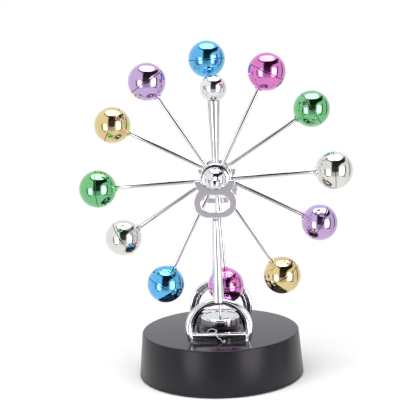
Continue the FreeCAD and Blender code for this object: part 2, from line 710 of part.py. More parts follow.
def make_circuit():
    """The pulse circuit on the battery tray: a board with its transistor, capacitor and resistor."""
    half_width = "board_width / 2"
    half_length = "board_length / 2"
    board = box(
        "circuit_board",
        ("board_x - " + half_width, "board_x + " + half_width),
        ("-" + half_length, half_length),
        (TRAY_TOP, BOARD_TOP),
    )
    keep(board, "circuit_board")
    transistor = cylinder(
        "transistor", "transistor_radius", PART_HEIGHT, "board_x", "-part_spacing", BOARD_TOP
    )
    capacitor = cylinder(
        "capacitor", "capacitor_radius", PART_HEIGHT, "board_x", "part_spacing", BOARD_TOP
    )
    resistor = cylinder(
        "resistor",
        "resistor_radius",
        "resistor_length",
        "board_x - resistor_length / 2",
        "0",
        "%s + resistor_radius" % BOARD_TOP,
        SIDEWISE,
    )
    keep(group("board_components", [transistor, capacitor, resistor]), "board_components")


def wire(name, start, runs):
    """A lead wire: straight runs along the axes from a start point, with a ball in each bend."""
    position = list(start)
    pieces = []
    for index, (sign, axis, length) in enumerate(runs):
        if index:
            pieces.append(sphere("%s_bend_%d" % (name, index), "lead_radius", *position))
        run_name = "%s_run_%d" % (name, index)
        pieces.append(cylinder(run_name, "lead_radius", length, *position, WAYS[sign + axis]))
        column = "xyz".index(axis)
        position[column] = "%s %s (%s)" % (position[column], sign, length)
    return fuse(name, pieces)


def make_leads():
    """The wires from the end contacts to the board and from the board to the coil."""
    contact_y = "(%s - lead_radius)" % BAY_Y
    contact_top = "(%s + contact_half_height)" % CELL_AXIS
    rise = "%s + lead_radius - %s" % (BOARD_TOP, contact_top)
    landing = "%s - board_length / 2 + lead_landing" % contact_y
    far_x = "1.5 * cell_pitch"
    leads = [
        wire("left_lead", ("-" + far_x, contact_y, contact_top), (("+", "z", rise), ("-", "y", landing))),
        wire(
            "right_lead",
            (far_x, contact_y, contact_top),
            (("+", "z", rise), ("-", "x", "2 * %s - lead_spread" % far_x), ("-", "y", landing)),
        ),
    ]
    coil_z = "(%s - %s + bobbin_wall + lead_radius)" % (ROOF_UNDER, BOBBIN_HEIGHT)
    coil_x = "(bobbin_radius - winding_inset)"
    for side, name in ((-1, "front_coil_lead"), (1, "rear_coil_lead")):
        start = ("-" + coil_x, "%d * lead_spread" % side, coil_z)
        reach = "-board_x - board_width / 2 + 2 * lead_radius - %s" % coil_x
        leads.append(wire(name, start, (("-", "x", reach), ("-", "z", "%s - %s" % (coil_z, BOARD_TOP)))))
    keep(group("lead_wires", leads), "lead_wires")


def make_screws_and_feet():
    """Cover screws, the screws that hold the stands, and the rubber feet."""
    cover_screws = []
    for index in range(4):
        x = "%s * cos(%d)" % (SCREW_CIRCLE, 90 * index)
        y = "%s * sin(%d)" % (SCREW_CIRCLE, 90 * index)
        head_name = "cover_screw_head_%d" % index
        head = cylinder(head_name, "screw_head_radius", "screw_head_height", x, y, "cover_lift")
        length = "cover_thickness + screw_depth"
        shank = cylinder("cover_screw_shank_%d" % index, "screw_radius", length, x, y, "cover_lift")
        cover_screws.append(fuse("cover_screw_%d" % index, [head, shank]))
    keep(group("cover_screws", cover_screws), "cover_screws")
    stand_screws = []
    feet = []
    for index, (side, end) in enumerate(((-1, -1), (1, -1), (-1, 1), (1, 1))):
        x = "%d * %s" % (side, FOOT_MIDDLE)
        y = "%d * stand_offset" % end
        head = cylinder(
            "stand_screw_head_%d" % index,
            "stand_head_radius",
            "screw_head_height",
            x,
            y,
            "%s - screw_head_height" % ROOF_UNDER,
        )
        shank = cylinder(
            "stand_screw_shank_%d" % index,
            "stand_screw_radius",
            "screw_head_height + base_roof + stand_screw_depth",
            x,
            y,
            "%s - screw_head_height" % ROOF_UNDER,
        )
        stand_screws.append(fuse("stand_screw_%d" % index, [head, shank]))
        foot = cylinder(
            "foot_%d" % index,
            "foot_radius",
            "cover_lift + foot_recess",
            "%d * %s * cos(foot_angle)" % (side, FOOT_CIRCLE),
            "%d * %s * sin(foot_angle)" % (end, FOOT_CIRCLE),
        )
        feet.append(foot)
    keep(group("stand_screws", stand_screws), "stand_screws")
    keep(group("rubber_feet", feet), "rubber_feet")


def make_leg_form():
    """One stand leg in its local frame: a loop with a window and a crossbar, and a tapered post."""
    ellipse = doc.addObject("Part::Ellipse", "loop_ellipse")
    bind(ellipse, "MajorRadius", "loop_half_width")
    bind(ellipse, "MinorRadius", "loop_half_height")
    place(ellipse, "0", "%s - loop_half_height" % LOOP_TOP)
    plate = doc.addObject("Part::Extrusion", "loop_plate")
    plate.Base = ellipse
    plate.DirMode = "Custom"
    plate.Dir = AXIS_Z
    plate.Solid = True
    plate.Symmetric = True
    bind(plate, "LengthFwd", "stand_depth")
    across = ("-loop_half_width", "loop_half_width")
    through = ("-stand_depth", "stand_depth")
    below = box("loop_below", across, ("-loop_half_height", "base_height"), through)
    middle = "(window_radius + window_back_radius) / 2"
    flare = "(window_radius - window_back_radius)"
    disc = cone(
        "window_disc",
        "%s - %s" % (middle, flare),
        "%s + %s" % (middle, flare),
        "2 * stand_depth",
        "0",
        "%s - window_radius" % WINDOW_TOP,
        "-stand_depth",
    )
    window_floor = box("window_floor", across, ("-loop_half_height", BAR_TOP), through)
    window = cut("loop_window", disc, [window_floor])
    slit = box("loop_slit", ("-foot_span", "foot_span"), (ROOF_UNDER, BAR_BOTTOM), through)
    loop = cut("loop_blank", plate, [below, window, slit])
    foot_width = "loop_half_width - foot_span"
    loop_soft = rounded("loop", loop, "loop_round", face_edge_test("stand_depth / 2", foot_width))
    post = cone(
        "post",
        "post_foot_radius",
        "post_tip_radius",
        "%s - %s + post_sink" % (POST_TOP, LOOP_TOP),
        "0",
        "%s - post_sink" % LOOP_TOP,
        "0",
        LOCAL_UP,
    )
    blank = fuse("leg_blank", [loop_soft, post])
    socket = cylinder(
        "post_socket",
        "spigot_radius + glue_gap",
        "2 * spigot_length",
        "0",
        "%s - spigot_length" % POST_TOP,
        "0",
        LOCAL_UP,
    )
    dowel_hole = cylinder(
        "dowel_hole", "dowel_radius + glue_gap", "2 * post_foot_radius", "0", "%s - dowel_drop" % POST_TOP
    )
    screw_holes = [
        cylinder(
            "leg_screw_hole_%s" % name,
            "stand_screw_radius + glue_gap",
            "base_roof + stand_screw_depth + pilot_extra",
            "%d * %s" % (side, FOOT_MIDDLE),
            ROOF_UNDER,
            "0",
            LOCAL_UP,
        )
        for side, name in ((-1, "left"), (1, "right"))
    ]
    return cut("leg_form", blank, [socket, dowel_hole] + screw_holes)


def oval(name, radius, offset, drop, height):
    """A solid oval plate below the axle: two round ends and the block between them."""
    base = "-(%s) / 2" % height
    ends = [
        cylinder("%s_%s" % (name, end), radius, height, "%d * %s" % (side, offset), "-" + drop, base)
        for side, end in ((-1, "left"), (1, "right"))
    ]
    middle = box(
        name + "_middle",
        ("-" + offset, offset),
        ("-%s - %s" % (drop, radius), "-%s + %s" % (drop, radius)),
        (base, "(%s) / 2" % height),
    )
    return fuse(name, ends + [middle])


def make_yoke_form():
    """One yoke in its local frame around the axle: oval ring, two horns, bearing boss, spigot."""
    half = "stand_depth / 2"
    ring = oval("ring", "ring_end_radius", "ring_end_offset", "ring_drop", "stand_depth")
    outer = cylinder("cradle_disc", "cradle_outer", "stand_depth", "0", "horn_lift", "-" + half)
    upper = box(
        "cradle_keep",
        ("-cradle_outer", "cradle_outer"),
        ("-ring_drop", "horn_top"),
        ("-" + half, half),
    )
    crescent = common("cradle_lower", outer, upper)
    blank = fuse("yoke_blank", [ring, crescent])
    hollow = cylinder(
        "cradle_hollow", "cradle_inner", "2 * stand_depth", "0", "cradle_lift", "-stand_depth"
    )
    hole = oval(
        "ring_hole", "ring_hole_radius", "ring_hole_offset", "ring_hole_drop", "2 * stand_depth"
    )
    plate = cut("yoke_plate", blank, [hollow, hole])
    above_hole = "ring_hole_radius - ring_hole_drop + yoke_round"
    outline = rounded("yoke_outline", plate, "horn_round", corner_test(above_hole))
    soft = rounded("yoke_soft", outline, "yoke_round", face_edge_test(half))
    boss = cylinder("bearing_boss", "boss_radius", "boss_length", "0", "0", "-boss_length / 2")
    neck = box(
        "boss_neck",
        ("-neck_half_width", "neck_half_width"),
        ("cradle_lift - (cradle_inner + cradle_outer) / 2", "-bush_radius"),
        ("-%s + yoke_round" % half, "%s - yoke_round" % half),
    )
    stem = cylinder(
        "yoke_stem",
        "post_tip_radius",
        "stem_length + yoke_round * 2",
        "0",
        "%s - hub_height" % POST_TOP,
        "0",
        LOCAL_UP,
    )
    spigot = cylinder(
        "yoke_spigot",
        "spigot_radius",
        "spigot_length + yoke_round",
        "0",
        "%s - spigot_length - hub_height" % POST_TOP,
        "0",
        LOCAL_UP,
    )
    joined = fuse("yoke_joined", [soft, boss, neck, stem, spigot])
    bore = cylinder(
        "bush_bore", "bush_radius + glue_gap", "2 * boss_length", "0", "0", "-boss_length"
    )
    dowel_hole = cylinder(
        "yoke_dowel_hole",
        "dowel_radius + glue_gap",
        "4 * spigot_radius",
        "0",
        "%s - dowel_drop - hub_height" % POST_TOP,
        "-2 * spigot_radius",
    )
    return cut("yoke_form", joined, [bore, dowel_hole])


def make_stands():
    """Front and rear stand: leg, yoke, bearing bush and locking pin, the rear one turned round."""
    leg_form = make_leg_form()
    yoke_form = make_yoke_form()
    bush_outer = cylinder("bush_outer", "bush_radius", "boss_length", "0", "0", "-boss_length / 2")
    bush_inner = cylinder(
        "bush_inner", "axle_radius + spin_clearance", "2 * boss_length", "0", "0", "-boss_length"
    )
    bush_form = cut("bush_form", bush_outer, [bush_inner])
    dowel_form = cylinder(
        "dowel_form",
        "dowel_radius",
        "post_tip_radius + spigot_radius / 2",
        "0",
        "%s - dowel_drop" % POST_TOP,
        "-spigot_radius / 2",
    )
    bushes = []
    dowels = []
    for side, name, turn in ((-1, "front", FRONTWISE), (1, "rear", HALF_TURN * FRONTWISE)):
        y = "%d * stand_offset" % side
        keep(place(group(name + "_leg", [leg_form]), "0", y, "0", turn), name + "_leg")
        keep(place(group(name + "_yoke", [yoke_form]), "0", y, "hub_height", turn), name + "_yoke")
        bushes.append(place(group(name + "_bush", [bush_form]), "0", y, "hub_height", turn))
        dowels.append(place(group(name + "_dowel", [dowel_form]), "0", y, "0", turn))
    keep(group("bearing_bushes", bushes), "bearing_bushes")
    keep(group("yoke_pins", dowels), "yoke_pins")


def on_spoke(name, forms, index):
    """Copy forms that stand straight up from the axle to one of the twelve spokes."""
    copy = group(name, forms)
    angle = 360 / BALLS * index
    copy.Placement = FreeCAD.Placement(
        FreeCAD.Vector(), FreeCAD.Rotation(AXIS_Y, angle - number("wheel_phase"))
    )
    bind(copy, "Placement.Rotation.Angle", "%g - wheel_phase" % angle)
    bind(copy, "Placement.Base.y", "%d * row_offset" % (-1 if index % 2 else 1))
    bind(copy, "Placement.Base.z", "hub_height")
    return copy


def make_ball_forms():
    """The two halves of a ball over the axle: the inner one has the socket for the arm."""
    halves = []
    for name, low, high in (("inner", "-90", "0"), ("outer", "0", "90")):
        skin = sphere("ball_skin_" + name, "ball_radius", "0", "0", BALL_CIRCLE, UPRIGHT, low, high)
        hollow = sphere("ball_hollow_" + name, "ball_radius - ball_wall", "0", "0", BALL_CIRCLE)
        halves.append(cut("ball_half_" + name, skin, [hollow]))
    socket_end = "(%s - ball_radius + socket_depth)" % BALL_CIRCLE
    tube = cylinder(
        "ball_socket",
        "socket_radius",
        "socket_depth + collar_height",
        "0",
        "0",
        "%s - ball_radius - collar_height" % BALL_CIRCLE,
    )
    bore = cylinder(
        "ball_bore",
        "arm_radius + glue_gap",
        "socket_depth + collar_height",
        "0",
        "0",
        "%s - ball_wall - socket_depth - collar_height" % socket_end,
    )
    inner = cut("ball_inner", fuse("ball_inner_blank", [halves[0], tube]), [bore])
    seam = circle_test("ball_radius", BALL_CIRCLE)
    return [
        rounded("ball_inner_half", inner, "ball_seam", seam),
        rounded("ball_outer_half", halves[1], "ball_seam", seam),
    ]


def make_wheel():
    """The wheel: axle, end caps, two hub discs with domes, twelve arms and twelve balls."""
    keep(
        cylinder("axle", "axle_radius", "2 * %s" % AXLE_END, "0", AXLE_END, "hub_height", FRONTWISE),
        "axle",
    )
    cap_form = new_body("cap_form")
    revolve(
        cap_form,
        "cap_profile",
        (
            ("axle_radius + glue_gap", "0"),
            ("cap_radius", "0"),
            ("cap_radius", "cap_height"),
            ("0", "cap_height"),
            ("0", "cap_height - cap_cover"),
            ("axle_radius + glue_gap", "cap_height - cap_cover"),
        ),
    )
    round_body(cap_form, "cap_edge", "cap_round", circle_test("cap_radius", "cap_height"))
    caps = []
    for side, turn in ((-1, FRONTWISE), (1, HALF_TURN * FRONTWISE)):
        y = "%d * (%s + end_play)" % (side, BOSS_END)
        caps.append(place(group("cap_%d" % (side + 1), [cap_form]), "0", y, "hub_height", turn))
    keep(group("axle_caps", caps), "axle_caps")

    hub_form = new_body("hub_form")
    half = "hub_thickness / 2"
    revolve(
        hub_form,
        "hub_profile",
        (
            ("axle_radius + glue_gap", "-" + half),
            ("hub_radius - hub_bevel", "-" + half),
            ("hub_radius", "-%s + hub_bevel" % half),
            ("hub_radius", "%s - hub_bevel" % half),
            ("hub_radius - hub_bevel", half),
            ("axle_radius + glue_gap", half),
        ),
    )
    arm_form = cylinder(
        "arm_form",
        "arm_radius",
        "%s - ball_radius + socket_depth - ball_wall - arm_root" % BALL_CIRCLE,
        "0",
        "0",
        "arm_root",
    )
    arm_hole_form = cylinder("arm_hole_form", "arm_radius + glue_gap", "hub_radius", "0", "0", "arm_root")
    dome_outer = sphere(
        "dome_outer", "dome_radius", low="asin(hub_thickness / 2 / dome_radius)", high="90"
    )
    dome_inner = sphere("dome_inner", "dome_radius - dome_wall", low="-90", high="90")
    dome_bore = cylinder("dome_bore", "axle_radius + end_play", "2 * dome_radius")
    dome_form = cut("dome_form", dome_outer, [dome_inner, dome_bore])
    for side, name, first, turn in (
        (-1, "front", 1, FRONTWISE),
        (1, "rear", 0, HALF_TURN * FRONTWISE),
    ):
        y = "%d * row_offset" % side
        disc = place(group(name + "_disc", [hub_form]), "0", y, "hub_height", turn)
        holes = [
            on_spoke("%s_arm_hole_%d" % (name, index), [arm_hole_form], index)
            for index in range(first, BALLS, 2)
        ]
        keep(cut(name + "_hub", disc, holes), name + "_hub")
        dome = place(group(name + "_dome", [dome_form]), "0", y, "hub_height", turn)
        keep(dome, name + "_dome")
    ball_forms = make_ball_forms()
    for index in range(BALLS):
        keep(on_spoke("arm_%02d" % (index + 1), [arm_form], index), "arm_%02d" % (index + 1))
        keep(on_spoke("ball_%02d" % (index + 1), ball_forms, index), "ball_%02d" % (index + 1))


def polar_corner(radius, angle):
    """A corner at a radius and an angle about the axle, as two formulas."""
    return "(%s) * cos(%s)" % (radius, angle), "(%s) * sin(%s)" % (radius, angle)


def make_ratchet():
    """The one-way drive: ratchet wheel on the front hub, pawl and pin on the pendulum."""
    wheel = new_body("ratchet_wheel")
    disc_sketch = sketch_on(wheel, "ratchet_sketch", "XY_Plane", RATCHET_INNER)
    draw_circle(disc_sketch, "ratchet_tip")
    draw_circle(disc_sketch, "axle_radius + glue_gap")
    pad(wheel, "ratchet_disc", disc_sketch, "ratchet_width")
    notch_sketch = sketch_on(wheel, "notch_sketch", "XY_Plane", RATCHET_INNER)
    draw_outline(
        notch_sketch,
        (
            polar_corner("ratchet_tip - tooth_depth", "tooth_angle"),
            polar_corner("ratchet_tip + tooth_depth", "tooth_angle"),
            polar_corner("ratchet_tip + tooth_depth", "tooth_angle + tooth_flank"),
            polar_corner("ratchet_tip", "tooth_angle + tooth_flank"),
        ),
    )
    notch = pocket(wheel, "notch", notch_sketch, "ratchet_width")
    repeat_round(wheel, "teeth", [notch], notch_sketch, int(number("tooth_count")))
    keep(place(wheel, "0", "0", "hub_height", FRONTWISE), "ratchet_wheel")

    pawl = new_body("pawl")
    beam_bottom = "(%s + pawl_side_gap)" % RATCHET_INNER
    pawl_top = "(%s + pawl_width)" % beam_bottom
    beam_sketch = sketch_on(pawl, "beam_sketch", "XY_Plane", beam_bottom)
    draw_outline(
        beam_sketch,
        (
            (TIP_U, TIP_V),
            ("%s + pawl_side_gap" % TIP_U, "%s + pawl_beam" % TIP_V),
            (PIVOT_U, "%s + pawl_boss_radius" % PIVOT_V),
            (PIVOT_U, "%s + pawl_side_gap" % PIVOT_V),
            ("%s - pawl_hook_width" % TIP_U, "%s + pawl_hook_rise" % TIP_V),
        ),
    )
    pad(pawl, "beam", beam_sketch, "pawl_width")
    boss_bottom = "(%s + pawl_side_gap)" % COLLAR_FRONT
    boss_sketch = sketch_on(pawl, "pawl_boss_sketch", "XY_Plane", boss_bottom)
    draw_circle(boss_sketch, "pawl_boss_radius", PIVOT_U, PIVOT_V)
    pad(pawl, "pawl_boss", boss_sketch, "%s - %s" % (pawl_top, boss_bottom))
    bore_sketch = sketch_on(pawl, "pawl_bore_sketch", "XY_Plane", boss_bottom)
    draw_circle(bore_sketch, "pin_radius + spin_clearance", PIVOT_U, PIVOT_V)
    pocket(pawl, "pawl_bore", bore_sketch, "%s - %s" % (pawl_top, boss_bottom))
    keep(place(pawl, "0", "0", "hub_height", FRONTWISE), "pawl")

    pin = cylinder(
        "pawl_pin",
        "pin_radius",
        "flange_thickness + %s + pawl_side_gap - %s" % (pawl_top, COLLAR_FRONT),
        PIVOT_U,
        "-(%s - flange_thickness)" % COLLAR_FRONT,
        "hub_height + %s" % PIVOT_V,
        FRONTWISE,
    )
    keep(pin, "pawl_pin")


def make_pendulum():
    """The pendulum: collar, two rods, counterweight ball and the drum with its magnet."""
    collar = new_body("collar_body")
    revolve(
        collar,
        "collar_profile",
        (
            ("axle_radius + spin_clearance", "-collar_rear"),
            ("collar_radius", "-collar_rear"),
            ("collar_radius", "%s - flange_thickness" % COLLAR_FRONT),
            ("flange_radius", "%s - flange_thickness" % COLLAR_FRONT),
            ("flange_radius", COLLAR_FRONT),
            ("axle_radius + spin_clearance", COLLAR_FRONT),
        ),
    )
    place(collar, "0", "0", "hub_height", FRONTWISE)
    upper_hole = cylinder(
        "upper_rod_hole", "upper_root_radius + glue_gap", "collar_radius", "0", "0", "hub_height + rod_seat"
    )
    lower_hole = cylinder(
        "lower_rod_hole",
        "lower_rod_radius + glue_gap",
        "collar_radius",
        "0",
        "0",
        "hub_height - rod_seat",
        DOWNWARD,
    )
    pin_hole = cylinder(
        "pawl_pin_hole",
        "pin_radius + glue_gap",
        "2 * flange_thickness",
        PIVOT_U,
        "-(%s - 1.5 * flange_thickness)" % COLLAR_FRONT,
        "hub_height + %s" % PIVOT_V,
        FRONTWISE,
    )
    keep(cut("pendulum_collar", collar, [upper_hole, lower_hole, pin_hole]), "pendulum_collar")

    straight = cylinder(
        "upper_rod_root", "upper_root_radius", "collar_radius - rod_seat", "0", "0", "hub_height + rod_seat"
    )
    taper = cone(
        "upper_rod_taper",
        "upper_root_radius",
        "upper_tip_radius",
        "%s - counter_radius - collar_radius" % COUNTER_CIRCLE,
        "0",
        "0",
        "hub_height + collar_radius",
    )
    tip = cylinder(
        "upper_rod_tip",
        "upper_tip_radius - 2 * glue_gap",
        "counter_insertion",
        "0",
        "0",
        "hub_height + %s - counter_radius" % COUNTER_CIRCLE,
    )
    keep(fuse("pendulum_upper_rod", [straight, taper, tip]), "pendulum_upper_rod")
    ball = sphere("counter_sphere", "counter_radius", "0", "0", "hub_height + " + COUNTER_CIRCLE)
    ball_hole = cylinder(
        "counter_hole",
        "upper_tip_radius",
        "counter_insertion + counter_radius",
        "0",
        "0",
        "hub_height + %s - 2 * counter_radius" % COUNTER_CIRCLE,
    )
    keep(cut("counterweight_ball", ball, [ball_hole]), "counterweight_ball")
    lid_bottom = "(%s - lid_thickness)" % LID_TOP
    rod = cylinder(
        "pendulum_lower_rod",
        "lower_rod_radius",
        "hub_height - rod_seat - %s" % lid_bottom,
        "0",
        "0",
        lid_bottom,
    )
    keep(rod, "pendulum_lower_rod")

    drum = new_body("magnet_drum")
    drum_top = "(%s + drum_height)" % DRUM_BOTTOM
    revolve(
        drum,
        "drum_profile",
        (
            ("0", DRUM_BOTTOM),
            ("drum_radius", DRUM_BOTTOM),
            ("drum_radius", drum_top),
            ("drum_radius - drum_wall", drum_top),
            ("drum_radius - drum_wall", "%s + drum_floor" % DRUM_BOTTOM),
            ("0", "%s + drum_floor" % DRUM_BOTTOM),
        ),
    )
    lower_edge = circle_test("drum_radius", DRUM_BOTTOM)
    upper_edge = circle_test("drum_radius", drum_top)
    round_body(drum, "drum_edges", "drum_round", lambda edge: lower_edge(edge) or upper_edge(edge))
    keep(drum, "magnet_drum")
    magnet = cylinder(
        "drum_magnet", "magnet_radius", "magnet_thickness", "0", "0", "%s + drum_floor" % DRUM_BOTTOM
    )
    keep(magnet, "drum_magnet")
    lid_disc = cylinder(
        "lid_disc", "drum_radius - drum_wall - glue_gap", "lid_thickness", "0", "0", lid_bottom
    )
    lid_hole = cylinder(
        "lid_hole",
        "lower_rod_radius + glue_gap",
        "3 * lid_thickness",
        "0",
        "0",
        "%s - lid_thickness" % lid_bottom,
    )
    keep(cut("drum_lid", lid_disc, [lid_hole]), "drum_lid")


def make_spacers():
    """The washer and the spacer on the axle that keep the pendulum between the hubs."""
    washer = cylinder(
        "washer_ring",
        "spacer_radius",
        "washer_thickness",
        "0",
        "-(%s - washer_thickness)" % RATCHET_INNER,
        "hub_height",
        FRONTWISE,
    )
    spacer = cylinder(
        "spacer_ring",
        "spacer_radius",
        "%s - collar_rear - end_play" % HUB_INNER,
        "0",
        HUB_INNER,
        "hub_height",
        FRONTWISE,
    )
    hole = cylinder(
        "spacer_hole",
        "axle_radius + glue_gap",
        "4 * row_offset",
        "0",
        "2 * row_offset",
        "hub_height",
        FRONTWISE,
    )
    rings = [cut("washer", washer, [hole]), cut("spacer", spacer, [hole])]
    keep(group("axle_spacers", rings), "axle_spacers")


def check_and_export():
    """Stop at a failed object or shape, then write each sub-part to its file."""
    doc.recompute()
    for thing in doc.Objects:
        if "Invalid" in thing.State or "Error" in thing.State:
            raise RuntimeError("%s failed: %s" % (thing.Name, thing.State))
    for node, thing in nodes.items():
        shape = thing.Shape
        if shape.isNull() or not shape.isValid() or not shape.Solids:
            raise RuntimeError("%s has no valid solid" % node)
    os.makedirs("parts", exist_ok=True)
    for node, thing in nodes.items():
        thing.Shape.exportStep("parts/%s.step" % node)


def main():
    fill_sheet()
    make_base_shell()
    make_bottom_cover()
    make_battery_door()
    make_cells()
    make_contacts()
    make_coil()
    make_circuit()
    make_leads()
    make_screws_and_feet()
    make_stands()
    make_wheel()
    make_ratchet()
    make_pendulum()
    make_spacers()
    check_and_export()


main()
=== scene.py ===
"""The looks of a ferris wheel desk toy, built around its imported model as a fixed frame."""

import logging
import math
from dataclasses import dataclass
from enum import Enum
from typing import Callable, Sequence

import bpy
from mathutils import Matrix, Vector


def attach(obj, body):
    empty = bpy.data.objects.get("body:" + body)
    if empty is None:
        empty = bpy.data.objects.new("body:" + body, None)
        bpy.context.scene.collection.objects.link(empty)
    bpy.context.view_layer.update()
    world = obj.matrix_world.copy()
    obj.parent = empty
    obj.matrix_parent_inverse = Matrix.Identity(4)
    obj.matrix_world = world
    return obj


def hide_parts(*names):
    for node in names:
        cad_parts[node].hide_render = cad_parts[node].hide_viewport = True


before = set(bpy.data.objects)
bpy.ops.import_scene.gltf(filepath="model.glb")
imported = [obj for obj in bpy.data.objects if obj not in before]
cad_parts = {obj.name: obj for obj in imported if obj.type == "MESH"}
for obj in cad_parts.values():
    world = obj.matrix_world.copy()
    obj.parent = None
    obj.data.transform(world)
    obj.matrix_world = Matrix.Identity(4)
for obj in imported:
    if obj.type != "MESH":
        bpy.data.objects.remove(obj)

MM = 0.001
LOG = logging.getLogger("ferris_wheel_toy")
Piece = bpy.types.Object
Outline = list[tuple[float, float]]
Names = Sequence[str]
Colour = tuple[float, float, float]
Inputs = dict | None


# ---- shader graphs


class Wire:
    """A shader socket that sums can be written with."""

    def __init__(self, graph: "Graph", socket: bpy.types.NodeSocket) -> None:
        """Hold a socket and the graph that it belongs to."""
        self.graph = graph
        self.socket = socket

    def _sum(self, operation: str, first: object, second: object) -> "Wire":
        """Add a Math node on two values."""
        return self.graph.wire("ShaderNodeMath", {0: first, 1: second}, operation=operation)

    def __add__(self, other: object) -> "Wire":
        """Self plus other."""
        return self._sum("ADD", self, other)

    __radd__ = __add__

    def __sub__(self, other: object) -> "Wire":
        """Self minus other."""
        return self._sum("SUBTRACT", self, other)

    def __rsub__(self, other: object) -> "Wire":
        """Other minus self."""
        return self._sum("SUBTRACT", other, self)

    def __mul__(self, other: object) -> "Wire":
        """Self times other."""
        return self._sum("MULTIPLY", self, other)

    __rmul__ = __mul__

    def __pow__(self, other: object) -> "Wire":
        """Self to a power."""
        return self._sum("POWER", self, other)

    def __truediv__(self, other: object) -> "Wire":
        """Self over other."""
        return self._sum("DIVIDE", self, other)

    def size(self) -> "Wire":
        """Self without its sign."""
        return self._sum("ABSOLUTE", self, 0.0)


class Graph:
    """A node tree with one way to add a node."""

    def __init__(self, tree: bpy.types.NodeTree) -> None:
        """Empty the tree."""
        self.tree = tree
        tree.nodes.clear()

    def add(self, kind: str, inputs: Inputs = None, **settings: object) -> bpy.types.Node:
        """Add a node.

        Args:
            kind: The node's type.
            inputs: A value or a Wire for each socket, by name or place.
            settings: Its settings, set before its inputs.

        Returns:
            The node.
        """
        node = self.tree.nodes.new(kind)
        for key, value in settings.items():
            setattr(node, key, value)
        for key, value in (inputs or {}).items():
            if isinstance(value, Wire):
                self.tree.links.new(value.socket, node.inputs[key])
            else:
                node.inputs[key].default_value = value
        return node

    def wire(self, kind: str, inputs: Inputs = None, out: int | str = 0, **settings: object) -> Wire:
        """Add a node and give one of its outputs."""
        return Wire(self, self.add(kind, inputs, **settings).outputs[out])

    def place(self) -> Wire:
        """Give the Object coordinates, in metres in the toy's frame."""
        return self.wire("ShaderNodeTexCoord", out="Object")

    def axes(self) -> list[Wire]:
        """Give the Object coordinates along X, Y and Z."""
        split = self.add("ShaderNodeSeparateXYZ", {0: self.place()})
        return [Wire(self, socket) for socket in split.outputs]

    def ray(self, kind: str) -> Wire:
        """Give 1 for rays of a kind and 0 for others."""
        return self.wire("ShaderNodeLightPath", out="Is %s Ray" % kind)

    def noise(self, scale: float, detail: float = 2.0, stretch: Sequence[float] = (1, 1, 1)) -> Wire:
        """Give a noise, by its repeats in a metre, its octaves and a factor on each axis."""
        mapped = self.wire("ShaderNodeMapping", {"Vector": self.place(), "Scale": tuple(stretch)})
        return self.wire("ShaderNodeTexNoise", {"Vector": mapped, "Scale": scale, "Detail": detail})

    def cloud(self, scale: float, detail: float, low: float, high: float) -> Wire:
        """Give a noise eased from 0 to 1 between two of its levels."""
        return self.ramp(self.noise(scale, detail), low, high)

    def ramp(self, value: Wire, low: float, high: float, start: float = 0.0, end: float = 1.0) -> Wire:
        """Ease a value from start to end between low and high."""
        ends = {"Value": value, "From Min": low, "From Max": high, "To Min": start, "To Max": end}
        return self.wire("ShaderNodeMapRange", ends, interpolation_type="SMOOTHSTEP")

    def vector(self, kind: str, first: Wire, second: object = (0, 0, 0), out: str = "Vector") -> Wire:
        """Add a Vector Math node of a kind."""
        return self.wire("ShaderNodeVectorMath", {0: first, 1: second}, out, operation=kind)

    def blend(self, factor: Wire | float, first: Colour | Wire, second: Colour | Wire) -> Wire:
        """Blend two colours."""
        sides = [(*side, 1.0) if isinstance(side, tuple) else side for side in (first, second)]
        return self.wire("ShaderNodeMix", {0: factor, 6: sides[0], 7: sides[1]}, 2, data_type="RGBA")

    def bump(self, height: Wire, depth: float, strength: float = 1.0) -> Wire:
        """Turn a height into a normal, where 1 stands for a depth in millimetres."""
        inputs = {"Height": height, "Distance": depth * MM, "Strength": strength}
        return self.wire("ShaderNodeBump", inputs)

    def mix(self, factor: Wire, first: Wire, second: Wire) -> Wire:
        """Mix two shaders."""
        return self.wire("ShaderNodeMixShader", {0: factor, 1: first, 2: second})


# ---- finishes


@dataclass(frozen=True)
class Finish:
    """A finish. Each kind fills the sockets of one Principled shader."""

    name: str
    colour: Colour

    def sockets(self, graph: Graph) -> dict:
        """Give the value or Wire of each socket that the finish sets."""
        raise NotImplementedError

    def shade(self, share: float, more: float = 0.0) -> Colour:
        """Give a share of the colour, and more on top."""
        return tuple(part * share + more for part in self.colour)

    def surface(self, graph: Graph) -> Wire:
        """Give the surface of the material: one Principled shader with the finish's sockets."""
        return graph.wire("ShaderNodeBsdfPrincipled", self.sockets(graph))

    def material(self) -> bpy.types.Material:
        """Make the material, or give the one made before.

        Returns:
            The material.
        """
        known = bpy.data.materials.get(self.name)
        if known:
            return known
        made = bpy.data.materials.new(self.name)
        made.use_nodes = True
        graph = Graph(made.node_tree)
        graph.add("ShaderNodeOutputMaterial", {"Surface": self.surface(graph)})
        return made


@dataclass(frozen=True)
class BrightPlating(Finish):
    """Bright chrome plating: a mirror with faint handling haze and a trace of waviness."""

    gloss: float = 0.035
    haze: float = 0.07
    fade: float = 0.94
    ripple: float = 0.004

    def sockets(self, graph: Graph) -> dict:
        """Fill the sockets of the plating.

        Args:
            graph: The material's graph.

        Returns:
            What each socket gets.
        """
        return {
            "Base Color": graph.blend(graph.cloud(35, 2, 0.3, 0.7), self.colour, self.shade(self.fade)),
            "Metallic": 1.0,
            "Roughness": graph.cloud(70, 4, 0.45, 0.8) * self.haze + self.gloss,
            "Normal": graph.bump(graph.noise(260, 1), self.ripple),
        }


